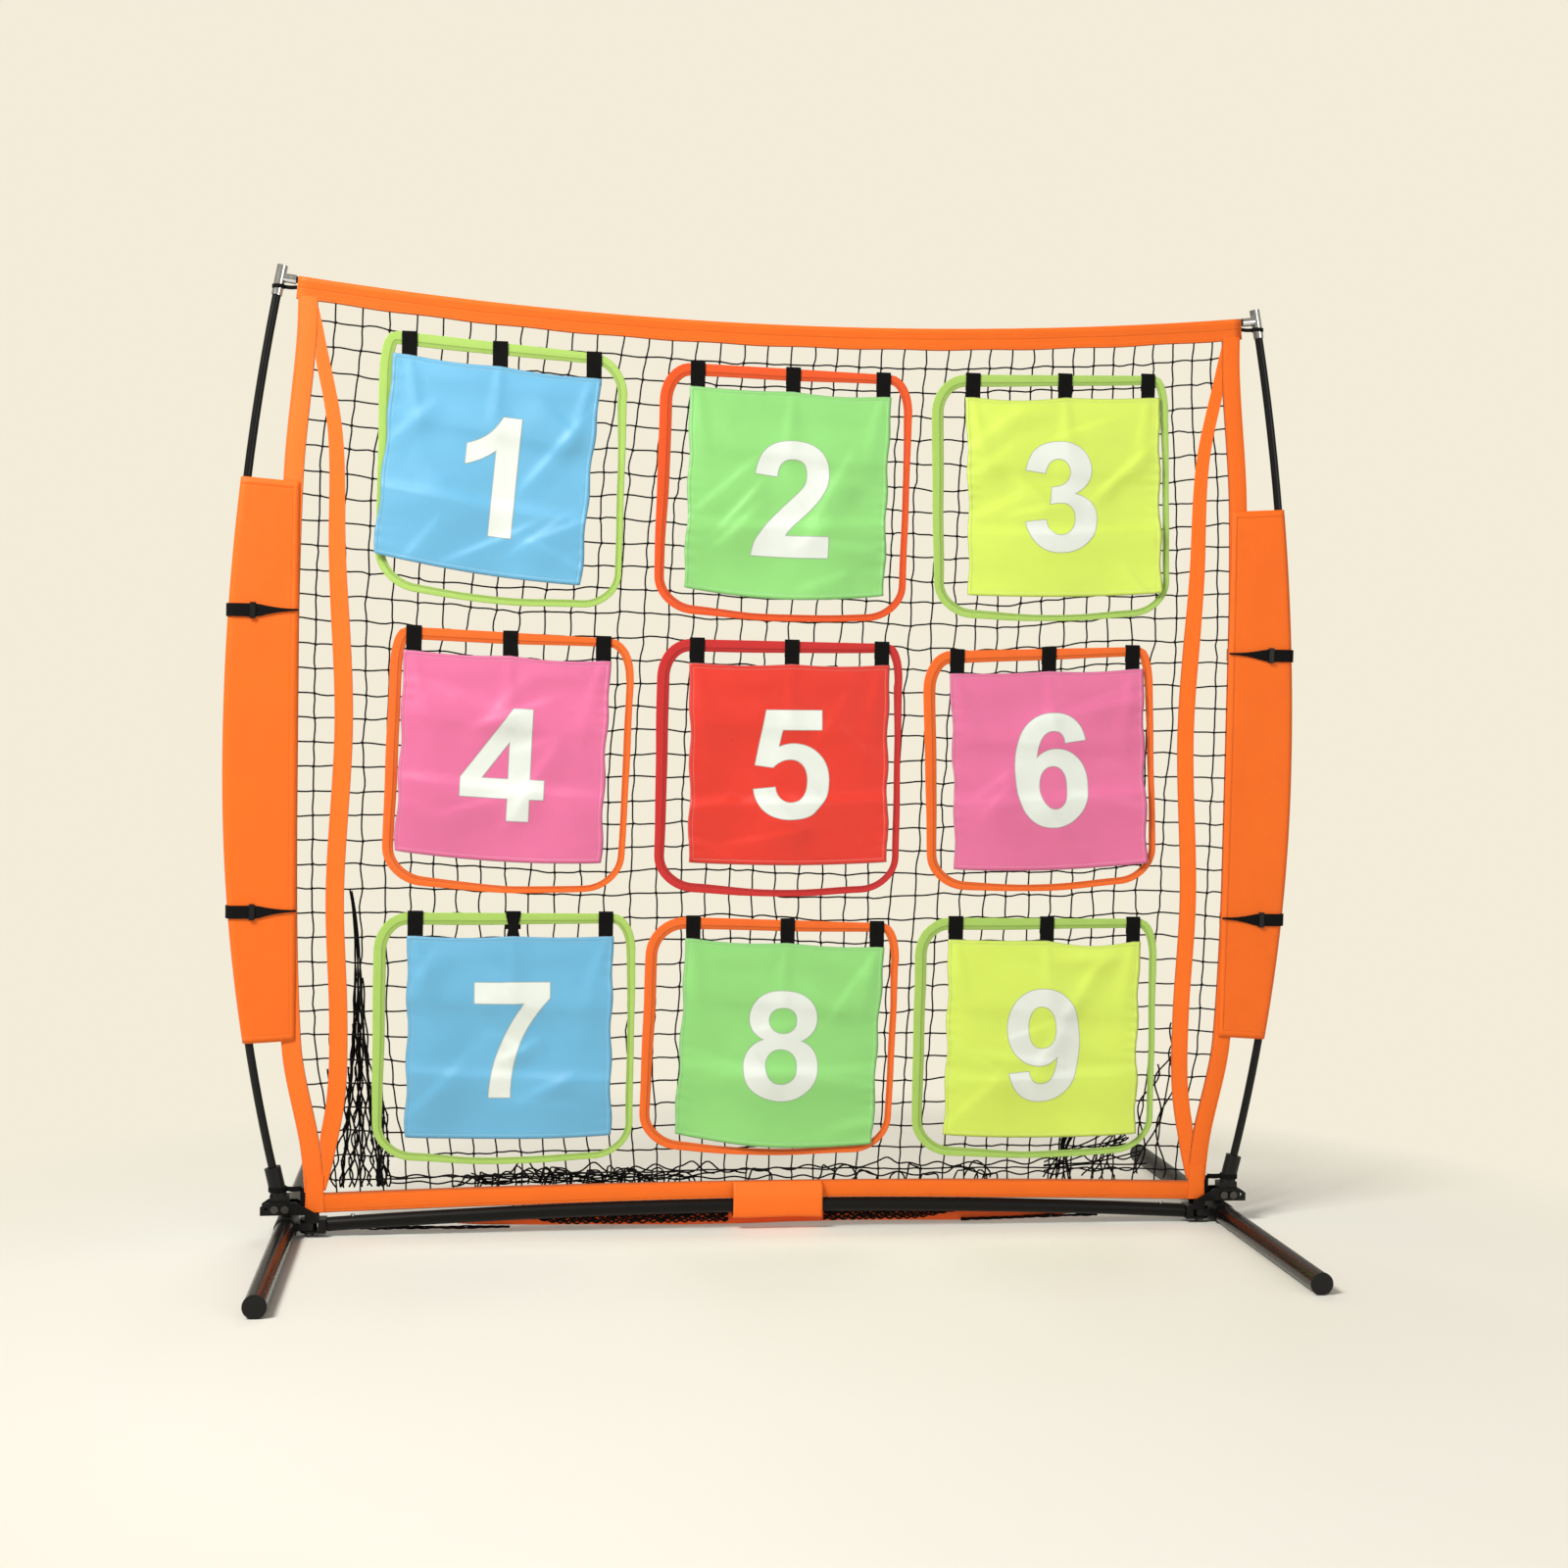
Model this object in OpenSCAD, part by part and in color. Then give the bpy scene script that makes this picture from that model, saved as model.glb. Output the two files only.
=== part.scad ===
// Free-standing pitching target: a square net on a bowed frame, with nine
// numbered-size target flaps that hang from loops of webbing sewn to the net.
// Millimetres. Origin on the floor, midway between the legs; the net stands in
// the XZ plane, +X to the right, +Y to the back, and the flaps hang in front.

/* [Legs] */
// Distance between the axes of the two leg tubes
leg_spacing = 1500; // [1400:10:1600]
// Length of a leg over its end caps
leg_length = 860; // [700:10:1000]
// Outer diameter of a leg tube
leg_d = 32; // [28:1:34]
// Wall of a leg tube
leg_wall = 1.5; // [1:0.1:2.5]
// How far a cap's flange stands out past its tube
cap_lip = 0.8; // [0.7:0.1:1.5]
// Depth of the flats that the caps stand on
cap_flat = 0.3; // [0.2:0.05:0.5]
// Thickness of a cap's flange
cap_t = 3; // [2:0.5:5]
// Length of the part of a cap inside its tube
cap_plug = 22; // [10:1:40]
// Length of the saddle round the middle of a leg
saddle_length = 50; // [30:1:70]
// Wall of the saddle
saddle_wall = 1.85; // [1.5:0.05:2.2]
// Distance from a leg's axis to its swivel bolt
swivel_offset = 34; // [34:0.5:40]
// Diameter of the swivel bolt
swivel_d = 8; // [6:1:9]
// Thickness of the saddle's ear on the swivel bolt
ear_t = 12; // [8:1:12]

/* [Crossbar] */
// Outer diameter of the crossbar tube
bar_d = 22; // [18:1:22]
// Wall of the crossbar tube
bar_wall = 1.2; // [0.8:0.1:1.6]
// Height of the crossbar's axis where it meets the brackets
bar_z = 18; // [17:0.5:20]
// How far the crossbar arches up at its middle
bar_rise = 20; // [8:1:26]
// Length of the spigot that each bracket pushes into the crossbar
spigot_length = 70; // [60:1:100]
// Length of the sleeve inside the crossbar's middle joint
joiner_length = 160; // [100:5:240]
// Diameter of a snap button
button_d = 6.4; // [5:0.2:8]
// How far a snap button can be pushed in
button_travel = 4; // [3:0.5:5]
// How far a snap button stands out of its tube
button_proud = 3; // [2:0.5:4]
// Distance from a bracket's face to its snap button
button_inset = 40; // [25:1:50]

/* [Corner brackets] */
// Half of a bracket's depth, front to back
bracket_half = 14; // [13.5:0.1:14.5]
// Thickness of a bracket's side plate
cheek_t = 3.2; // [2:0.1:4]
// Diameter of the bolts through the pole socket
socket_bolt_d = 6; // [4:0.5:7]
// Outer diameter of the pole socket
socket_d = 25; // [22:0.5:28]
// Height of the pole socket's rim
socket_top_z = 108; // [95:1:130]

/* [Poles and top rod] */
// Diameter of the bowed poles
pole_d = 12.7; // [10:0.1:14]
// How far the poles bow out past the leg axes
bow = 93; // [85:1:105]
// Height at which the bow is widest
bow_z = 730; // [700:5:760]
// How far the poles draw in again from there to their feet
low_tuck = 81.5; // [74:0.5:88]
// How far the poles draw in again from there to the top rod
top_tuck = 71; // [60:0.5:80]
// Length of the ferrule that joins two pole sections
ferrule_length = 80; // [40:5:140]
// Wall of the ferrule
ferrule_wall = 1; // [0.6:0.1:1.2]
// Outer diameter of a top tee's upright
tee_d = 16; // [15:0.5:20]
// Outer diameter of a top tee's stub
stub_d = 14; // [12.5:0.5:15]
// Distance from a tee's axis to its stub's mouth
stub_reach = 24; // [20:1:40]
// Diameter of the top rod
rod_d = 10; // [8:0.5:11]
// Height of the top rod at the tees
rod_z = 1470; // [1440:1:1500]
// How far the top rod sags at its middle
rod_sag = 45; // [20:1:60]

/* [Net and trim] */
// Number of modelled net columns
net_columns = 17; // [12:1:18]
// Number of modelled net rows
net_rows = 16; // [12:1:16]
// Thickness of a net strand
strand = 2.2; // [1.6:0.1:2.6]
// Thickness of fabric and webbing
cloth_t = 1.2; // [1:0.1:1.6]
// Clearance between soft pieces and their neighbours
gap = 0.3; // [0.2:0.05:0.4]
// Width of the edge webbing
edge_w = 30; // [24:1:34]
// Width of the curved inner webbing
mouth_w = 28; // [20:1:32]
// Height of the bottom webbing
hem_h = 28; // [22:1:34]
// How far the top sleeve reaches below the rod's axis
top_drop = 28; // [24:1:34]
// Width of the fabric round the middle of the crossbar
wrap_w = 143; // [100:1:200]
// Sideways place of that fabric
wrap_x = 15; // [-30:1:30]
// Length of the low band behind the crossbar
band_length = 1122; // [800:2:1200]
// Height of the low band's upper edge
band_top = 27; // [22:1:28]
// Height of the low band's lower edge
band_low = 5; // [3:0.5:8]

/* [Side sleeves] */
// Height of the side sleeves' lower edge
sleeve_low = 300; // [250:5:400]
// Height of the side sleeves' upper edge
sleeve_high = 1168; // [1050:2:1200]
// Distance from a leg's axis in to the sleeve's inner edge
sleeve_in = 10; // [6:1:14]
// Width of the straps round the sleeves
strap_w = 20; // [15:1:25]
// Height of the left straps
left_strap_z = [504, 965];
// Height of the right straps
right_strap_z = [498, 930];
// How far a strap keeper can slide
keeper_travel = 18; // [8:1:18]
// Length of a strap keeper along its strap
keeper_l = 8; // [6:0.5:10]

/* [Targets] */
// Distance between the centres of neighbouring targets
target_pitch = 432; // [420:1:450]
// Height of the middle row of targets
target_z = 737; // [725:1:750]
// Outer size of a webbing loop
loop_size = 398; // [390:1:404]
// Width of the loop's webbing
loop_w = 20; // [16:1:22]
// Outer corner radius of a loop
loop_r = 62; // [40:1:80]
// Width of a flap
flap_w = 320; // [300:1:326]
// Height of a flap
flap_h = 314; // [290:1:318]
// Drop from a loop's top edge to a flap's top edge
flap_drop = 36; // [32:1:44]
// Width of a fastening tab
tab_w = 24; // [18:1:28]
// Depth of a flap's folds
fold = 7; // [3:0.5:9]

/* [Hidden] */

$fn = 48;
arc_fn = 256;
running = 0.05;
slip = 0.1;
loose = 0.2;
hex = 6;

// Colours
black_steel = [0.09, 0.085, 0.08];
black_plastic = [0.12, 0.12, 0.12];
black_cord = [0.07, 0.065, 0.06];
chrome = [0.82, 0.83, 0.85];
orange = [1, 0.42, 0.13];
lime = [0.72, 0.88, 0.38];
loop_orange = [0.97, 0.43, 0.15];
loop_vermilion = [0.93, 0.32, 0.18];
loop_red = [0.82, 0.17, 0.15];
blue = [0.36, 0.66, 0.85];
green = [0.5, 0.85, 0.42];
neon = [0.84, 0.96, 0.3];
pink = [0.9, 0.4, 0.66];
red = [0.9, 0.2, 0.16];

// Legs: axis places and heights
leg_x = leg_spacing / 2;
leg_z = leg_d / 2 + cap_lip - cap_flat;
saddle_r = leg_d / 2 + saddle_wall;
swivel_x = leg_x - swivel_offset;
swivel_r = swivel_d / 2;

// Corner bracket: jaws round the ear, plates over the leg
jaw_gap = 0.4;
jaw_low = leg_z - ear_t / 2 - jaw_gap;
jaw_high = leg_z + ear_t / 2 + jaw_gap;
jaw_bottom = jaw_low - 3.4;
jaw_top = jaw_high + 5.1;
jaw_r = bracket_half;
block_x = swivel_x - jaw_r;
block_l = 12;
bar_end = block_x - block_l;
plate_z = leg_z + saddle_r + 1.5;
cheek_top = plate_z + 20;
nut_h = 5;
head_h = 5.5;

// Bend radius of an arc from the rise over half its chord
function bend_r(half, rise) = (pow(half, 2) + pow(rise, 2)) / (2 * rise);

// Crossbar arc, centred below the floor
bar_r = bend_r(bar_end, bar_rise);
bar_mid = bar_z + bar_rise;
button_x = bar_end - button_inset;
function bar_height(x) = bar_mid - bar_r + sqrt(pow(bar_r, 2) - pow(x, 2));

// Poles: two arcs that meet upright at the widest point of the bow
bow_x = leg_x + bow;
pole_low = cheek_top + 5.5;
low_bow_r = bend_r(bow_z - pole_low, low_tuck);
up_bow_r = bend_r(rod_z - bow_z, top_tuck);
function bow_r(z) = z < bow_z ? low_bow_r : up_bow_r;
function pole_x(z) = bow_x - bow_r(z) + sqrt(pow(bow_r(z), 2) - pow(z - bow_z, 2));
tee_top = rod_z + 18;
tee_low = rod_z - 27;
pole_high = tee_top - 4;
tee_x = pole_x(rod_z);
socket_x = pole_x(pole_low);

// Top rod arc, centred above the net
rod_r = bend_r(tee_x, rod_sag);
rod_mid = rod_z - rod_sag;
function rod_height(x) = rod_mid + rod_r - sqrt(pow(rod_r, 2) - pow(x, 2));
top_half = tee_x - stub_reach - 3;

// Depths of the layers, counted from the middle of the net
net_y = strand / 2;
edge_y = net_y + gap + cloth_t;
tab_back = net_y + gap;
loop_back = tab_back;
loop_thin = tab_back + cloth_t + gap;
loop_y = loop_thin + 1.5;
tab_y = loop_y + gap + cloth_t;
flap_y = tab_y + gap + cloth_t / 2;

// Height of the bottom webbing's lower edge, which clears the crossbar
hem_dip = 8;
function hem_low(x) = bar_height(0) + bar_d / 2 + 0.5
    - (bar_rise - hem_dip) * pow(x / leg_x, 2);
net_low_in = 10;
net_top_in = 8;
function net_low(x) = hem_low(x) + net_low_in;
function net_high(x) = rod_height(x) - top_drop + net_top_in;

// Side outlines: share of the height, and distance from the leg axis
side_low = 55;
side_high = rod_z - 10;
EDGE = [[0, -42], [0.06, -34], [0.175, -4], [0.49, 5], [0.79, 0],
    [0.943, -18], [1, -20]];
MOUTH = [[0, -40], [0.046, -56], [0.117, -73], [0.203, -75], [0.34, -68],
    [0.53, -79], [0.708, -67], [0.843, -62], [0.947, -34]];
function share(z) = (z - side_low) / (side_high - side_low);
function height(f) = side_low + f * (side_high - side_low);
function between(a, b, t) = a + (b - a) * t;
function lean_at(list, i) =
    let (p = list[max(i - 1, 0)], q = list[min(i + 1, len(list) - 1)])
    (q[1] - p[1]) / (q[0] - p[0]);
function follow(list, f, i = 0) =
    i < len(list) - 2 && f > list[i + 1][0] ? follow(list, f, i + 1)
    : let (span = list[i + 1][0] - list[i][0],
        t = min(max((f - list[i][0]) / span, 0), 1), s = 1 - t)
    s * s * (1 + 2 * t) * list[i][1] + t * t * (1 + 2 * s) * list[i + 1][1]
    + span * s * t * (s * lean_at(list, i) - t * lean_at(list, i + 1));
function side_x(list, z) = leg_x + follow(list, share(z));

// Outline of webbing along a side, from offset a to offset b outwards
side_steps = 48;
function side_point(list, z, off) =
    let (slope = (side_x(list, z + 1) - side_x(list, z - 1)) / 2,
        n = sqrt(1 + slope * slope))
    [side_x(list, z) + off / n, z - off * slope / n];
function side_band(list, a, b, low, high) = [
    for (i = [0 : side_steps])
        side_point(list, between(low, high, i / side_steps), b),
    for (i = [side_steps : -1 : 0])
        side_point(list, between(low, high, i / side_steps), a)
];

// A thin plate in the XZ plane between two depths
module upright(y_from, y_to) {
    translate([0, y_to, 0]) rotate([90, 0, 0]) linear_extrude(y_to - y_from) children();
}

module mirrored(side) {
    if (side < 0) mirror([1, 0, 0]) children();
    else children();
}

// A round bar along a circle in the XZ plane, centred at (cx, cz)
module arc_bar(cx, cz, radius, r, from, to) {
    translate([cx, 0, cz]) rotate([90, 0, 0]) rotate([0, 0, from])
        rotate_extrude(angle = to - from, $fn = arc_fn)
            translate([radius, 0]) circle(r, $fn = 48);
}

// A bar along the crossbar's arc between two X places
module bar_arc(r, x_from, x_to) {
    arc_bar(0, bar_mid - bar_r, bar_r, r,
        90 - asin(x_to / bar_r), 90 - asin(x_from / bar_r));
}

// A bar along the top rod's arc between two X places
module rod_arc(r, x_from, x_to) {
    arc_bar(0, rod_mid + rod_r, rod_r, r,
        270 + asin(x_from / rod_r), 270 + asin(x_to / rod_r));
}

// A bar along a pole's line between two heights on one side of the bow
module pole_arc(r, z_from, z_to) {
    radius = bow_r((z_from + z_to) / 2);
    arc_bar(bow_x - radius, bow_z, radius, r,
        asin((z_from - bow_z) / radius), asin((z_to - bow_z) / radius));
}

module across(r, y_from, y_to) {
    translate([0, y_from, 0]) rotate([-90, 0, 0]) cylinder(r = r, h = y_to - y_from);
}

// A closed skin through rings of points; each ring pairs its two runs
module strip_loft(rings) {
    n = len(rings[0]);
    m = len(rings);
    half = n / 2;
    polyhedron(
        points = [for (r = rings) each r],
        faces = [
            for (k = [0 : m - 2], i = [0 : n - 1]) let (j = (i + 1) % n)
                each [[k * n + i, k * n + j, (k + 1) * n + j],
                    [k * n + i, (k + 1) * n + j, (k + 1) * n + i]],
            for (i = [0 : half - 2]) let (p = n - 1 - i)
                each [[i, p, i + 1], [i + 1, p, p - 1]],
            for (i = [0 : half - 2]) let (p = n - 1 - i, e = (m - 1) * n)
                each [[e + i, e + i + 1, e + p], [e + i + 1, e + p - 1, e + p]]
        ]);
}

// ---- Legs ----

module leg_tube(side) {
    color(black_steel) mirrored(side) translate([leg_x, 0, leg_z]) difference() {
        across(leg_d / 2, cap_t - leg_length / 2, leg_length / 2 - cap_t);
        across(leg_d / 2 - leg_wall, -leg_length, leg_length);
    }
}

module leg_caps(side) {
    color(black_plastic) mirrored(side) translate([leg_x, 0, leg_z])
        for (turn = [0, 180]) rotate([0, 0, turn]) {
            difference() {
                across(leg_d / 2 + cap_lip, -leg_length / 2, cap_t - leg_length / 2);
                translate([-leg_d, -leg_length, -leg_z - leg_d])
                    cube([2 * leg_d, leg_length, leg_d]);
            }
            across(leg_d / 2 - leg_wall - slip, -leg_length / 2,
                cap_t + cap_plug - leg_length / 2);
        }
}

module leg_saddle(side) {
    color(black_steel) mirrored(side) difference() {
        union() {
            translate([leg_x, 0, leg_z])
                across(saddle_r, -saddle_length / 2, saddle_length / 2);
            translate([swivel_x, 0, leg_z - ear_t / 2])
                cylinder(r = jaw_r - 2, h = ear_t);
            translate([swivel_x, 2 - jaw_r, leg_z - ear_t / 2])
                cube([swivel_offset, 2 * jaw_r - 4, ear_t]);
        }
        translate([leg_x, 0, leg_z])
            across(leg_d / 2 + slip, -saddle_length, saddle_length);
        translate([swivel_x, 0, 0])
            cylinder(r = swivel_r + running, h = plate_z);
        translate([leg_x - leg_d, -saddle_length, -leg_d])
            cube([2 * leg_d, 2 * saddle_length, leg_d + leg_z - ear_t / 2 - 4]);
    }
}

// ---- Corner brackets ----

cheek_outer = socket_x + 28;
cheek_inner = swivel_x + 5;
module cheek_outline() {
    polygon([[block_x, jaw_high], [cheek_inner, jaw_high], [cheek_inner, plate_z],
        [cheek_outer, plate_z], [cheek_outer, plate_z + 13],
        [cheek_outer - 10, cheek_top], [socket_x - 26, cheek_top],
        [block_x, jaw_top + 8]]);
}

socket_bolt_x = [socket_x - 10, socket_x + 6];
socket_bolt_z = plate_z + 10;
lock_hole_x = socket_x + 19;
lock_hole_r = 2.8;
socket_bolt_r = socket_bolt_d / 2;
module corner_bracket(side) {
    color(black_plastic) mirrored(side) difference() {
        union() {
            for (z = [jaw_bottom, jaw_high]) translate([0, 0, z]) {
                h = z == jaw_bottom ? jaw_low - jaw_bottom : jaw_top - jaw_high;
                translate([swivel_x, 0, 0]) cylinder(r = jaw_r, h = h);
                translate([block_x, -jaw_r, 0]) cube([jaw_r, 2 * jaw_r, h]);
            }
            translate([bar_end, -bracket_half, jaw_bottom])
                cube([block_l, 2 * bracket_half, jaw_top - jaw_bottom]);
            bar_arc(bar_d / 2 - bar_wall - loose, bar_end - spigot_length, bar_end + 1);
            upright(-bracket_half, cheek_t - bracket_half) cheek_outline();
            upright(bracket_half - cheek_t, bracket_half) cheek_outline();
            translate([socket_x - 26, -bracket_half, plate_z])
                cube([cheek_outer - socket_x + 26, 2 * bracket_half, 3]);
        }
        translate([swivel_x, 0, -1]) cylinder(r = swivel_r + running, h = plate_z);
        for (x = socket_bolt_x) translate([x, 0, socket_bolt_z])
            across(socket_bolt_r + slip, -2 * bracket_half, 2 * bracket_half);
        translate([lock_hole_x, 0, socket_bolt_z])
            across(lock_hole_r, -2 * bracket_half, 2 * bracket_half);
        button_well();
    }
}

// The well that a snap button slides in, cut down into the spigot
button_floor = 5;
module button_well() {
    translate([button_x, 0, bar_height(button_x) - button_floor])
        cylinder(r = button_d / 2 + running, h = bar_d);
}

module snap_button(side) {
    color(chrome) mirrored(side)
        translate([button_x, 0, bar_height(button_x)]) intersection() {
            translate([0, 0, button_travel - button_floor + gap])
                cylinder(r = button_d / 2,
                    h = bar_d / 2 + button_proud - button_travel + button_floor - gap);
            translate([0, 0, bar_d / 2 + button_proud - 1.4 * button_d])
                sphere(r = 1.4 * button_d);
        }
}

tongue_top = pole_low + 4.5;
module pole_socket(side) {
    tongue_half = bracket_half - cheek_t - gap;
    color(black_plastic) mirrored(side) difference() {
        union() {
            translate([socket_x - 16, -tongue_half, plate_z + 3 + gap])
                cube([30, 2 * tongue_half, tongue_top - plate_z - 3 - gap]);
            pole_arc(socket_d / 2, cheek_top + 4, socket_top_z);
        }
        pole_arc(pole_d / 2 + slip, pole_low - gap, socket_top_z + 10);
        for (x = socket_bolt_x) translate([x, 0, socket_bolt_z])
            across(socket_bolt_r + slip, -2 * bracket_half, 2 * bracket_half);
    }
}

module swivel_bolts() {
    color(black_steel) for (side = [-1, 1]) mirrored(side) translate([swivel_x, 0, 0]) {
        translate([0, 0, jaw_bottom - nut_h]) cylinder(r = swivel_d * 0.9, h = nut_h, $fn = hex);
        translate([0, 0, jaw_bottom - nut_h]) cylinder(r = swivel_r, h = jaw_top - jaw_bottom + nut_h);
        translate([0, 0, jaw_top]) cylinder(r = swivel_d * 0.9, h = head_h, $fn = hex);
    }
}

module socket_bolts() {
    color(black_steel) for (side = [-1, 1]) mirrored(side)
        for (x = socket_bolt_x) translate([x, 0, socket_bolt_z]) {
            across(socket_bolt_r, -bracket_half, bracket_half);
            across(socket_bolt_d, -bracket_half - 4, -bracket_half);
            across(socket_bolt_d, bracket_half, bracket_half + 5);
        }
}

// ---- Crossbar ----

module crossbar(side) {
    color(black_steel) mirrored(side) difference() {
        bar_arc(bar_d / 2, gap / 2, bar_end - 1);
        bar_arc(bar_d / 2 - bar_wall, -1, bar_end + 1);
        button_well();
    }
}

module crossbar_joiner() {
    color(black_steel) difference() {
        bar_arc(bar_d / 2 - bar_wall - loose, -joiner_length / 2, joiner_length / 2);
        bar_arc(bar_d / 2 - 2 * bar_wall - loose, -joiner_length, joiner_length);
    }
}

// ---- Poles, tees and top rod ----

module lower_pole(side) {
    color(black_plastic) mirrored(side) pole_arc(pole_d / 2, pole_low, bow_z - gap);
}

module upper_pole(side) {
    color(black_plastic) mirrored(side) pole_arc(pole_d / 2, bow_z, pole_high);
}

// A straight ferrule, so its bore has room for the bow of the poles in it
ferrule_room = pow(ferrule_length / 2, 2) / (2 * min(low_bow_r, up_bow_r));
ferrule_bore = pole_d / 2 + slip + ferrule_room / 2;
ferrule_r = ferrule_bore + ferrule_wall;
module pole_ferrules() {
    color(black_steel) for (side = [-1, 1]) mirrored(side)
        translate([bow_x - ferrule_room / 2, 0, bow_z - ferrule_length / 2]) difference() {
            cylinder(r = ferrule_r, h = ferrule_length);
            translate([0, 0, -1]) cylinder(r = ferrule_bore, h = ferrule_length + 2);
        }
}

stub_bore_x = tee_x - pole_d / 2 - 3;
module pole_tees() {
    color(chrome) for (side = [-1, 1]) mirrored(side) difference() {
        union() {
            pole_arc(tee_d / 2, tee_low, tee_top);
            rod_arc(stub_d / 2, tee_x - stub_reach, tee_x - 2);
        }
        pole_arc(pole_d / 2 + slip, tee_low - 5, tee_top - 2);
        rod_arc(rod_d / 2 + slip, tee_x - stub_reach - 5, stub_bore_x);
    }
}

module top_rod() {
    color(black_plastic) rod_arc(rod_d / 2, -stub_bore_x + gap, stub_bore_x - gap);
}

// ---- Net, webbing and fabric ----

// Tunnel for the rod with a hem below that grips the net's top edge
module top_sleeve() {
    r = rod_d / 2 + gap + cloth_t;
    from = asin(top_half / rod_r);
    color(orange) translate([0, 0, rod_mid + rod_r]) rotate([90, 0, 0])
        rotate([0, 0, 270 - from]) rotate_extrude(angle = 2 * from, $fn = arc_fn)
            translate([rod_r, 0]) difference() {
                union() {
                    circle(r);
                    polygon([[0, -r], [12, -edge_y], [top_drop, -edge_y],
                        [top_drop, edge_y], [12, edge_y], [0, r]]);
                }
                circle(rod_d / 2 + gap);
                translate([top_drop - net_top_in - 5, -net_y - gap])
                    square([net_top_in + 7, strand + 2 * gap]);
            }
}

// Places on the net: u from -1 to 1 across, v from 0 to 1 upwards
function net_point(u, v) =
    let (z = between(net_low(u * leg_x), net_high(u * leg_x), v))
    [u * side_x(EDGE, z), z];
function net_u(i) = 2 * i / net_columns - 1;
function net_v(j) = j / net_rows;
module face_net() {
    su = strand / leg_x / 2;
    sv = strand / (side_high - side_low) / 2;
    fine = 6;
    color(black_cord) upright(-net_y, net_y) difference() {
        polygon([
            for (i = [0 : net_columns]) net_point(net_u(i), 0),
            for (j = [1 : net_rows * fine - 1]) net_point(1, j / net_rows / fine),
            for (i = [net_columns : -1 : 0]) net_point(net_u(i), 1),
            for (j = [net_rows * fine - 1 : -1 : 1]) net_point(-1, j / net_rows / fine)
        ]);
        for (i = [0 : net_columns - 1], j = [0 : net_rows - 1]) polygon([
            net_point(net_u(i) + su, net_v(j) + sv),
            net_point(net_u(i + 1) - su, net_v(j) + sv),
            net_point(net_u(i + 1) - su, net_v(j + 1) - sv),
            net_point(net_u(i) + su, net_v(j + 1) - sv)
        ]);
    }
}

// Slack net that hangs in a pocket behind the lower part of the face net.
// Each station along its run gives the distance in from a leg axis, the
// height, half the pocket's width, its depth and its distance behind the face
slack_t = 2;
slack_y = net_y + gap;
SLACK = [[-72, 596, 5, 4, 0], [-72, 530, 12, 10, 0], [-74, 460, 19, 16, 0],
    [-80, 380, 26, 22, 0], [-88, 290, 33, 28, 1], [-98, 200, 40, 32, 5],
    [-126, 132, 42, 34, 11], [-185, 100, 38, 34, 15], [-310, 91, 35, 34, 15],
    [-480, 87, 34, 36, 15], [-640, 88, 34, 34, 15]];
slack_parts = 14;
function slack_place(i) =
    let (n = len(SLACK), k = i < n ? i : 2 * n - 1 - i, s = i < n ? -1 : 1)
    [s * (leg_x + SLACK[k][0]), SLACK[k][1], SLACK[k][2], SLACK[k][3], SLACK[k][4]];
function slack_run(i, back) =
    let (m = 2 * len(SLACK), c = slack_place(i),
        p = slack_place(max(i - 1, 0)), q = slack_place(min(i + 1, m - 1)),
        d = [q[0] - p[0], q[1] - p[1]] / norm([q[0] - p[0], q[1] - p[1]]))
    [for (k = [0 : slack_parts]) let (t = k / slack_parts,
        wide = c[2] * (2 * t - 1),
        deep = c[3] * (0.82 * sin(180 * t) + 0.09 * (1 - cos(360 * 4 * t + 47 * i))))
        [c[0] - d[1] * wide, slack_y + c[4] + deep + (back ? slack_t : 0),
            c[1] + d[0] * wide]];
module catch_net() {
    color(black_cord) strip_loft([for (i = [0 : 2 * len(SLACK) - 1])
        let (f = slack_run(i, false), b = slack_run(i, true))
        concat(f, [for (k = [slack_parts : -1 : 0]) b[k]])]);
}

// Outline between two heights above the bottom webbing's lower edge
hem_half = leg_x - 28;
module hem_outline(low, high, half) {
    steps = 24;
    polygon([
        for (i = [-steps : steps]) [half * i / steps, hem_low(half * i / steps) + low],
        for (i = [steps : -1 : -steps]) [half * i / steps, hem_low(half * i / steps) + high]
    ]);
}

module bottom_webbing() {
    color(orange) difference() {
        upright(-edge_y, edge_y) hem_outline(0, hem_h, hem_half);
        upright(-net_y - gap, net_y + gap) hem_outline(net_low_in - 2, hem_h + 5, leg_x);
    }
}

edge_low = hem_low(hem_half) + hem_h + 3;
edge_high = rod_height(top_half) - top_drop - 4;
module edge_webbing(side) {
    color(orange) mirrored(side) difference() {
        upright(-edge_y, edge_y)
            polygon(side_band(EDGE, -edge_w / 2, edge_w / 2, edge_low, edge_high));
        upright(-net_y - gap, net_y + gap)
            polygon(side_band(EDGE, -edge_w, 3, edge_low - 5, edge_high + 5));
    }
}

mouth_top = height(MOUTH[len(MOUTH) - 1][0]);
module mouth_webbing() {
    color(orange) for (side = [-1, 1]) mirrored(side)
        upright(-edge_y, -net_y - gap) difference() {
            polygon(side_band(MOUTH, -mouth_w / 2, mouth_w / 2, edge_low + 5, mouth_top));
            polygon(side_band(EDGE, -edge_w / 2 - gap, edge_w, edge_low - 20, edge_high));
        }
}

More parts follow.
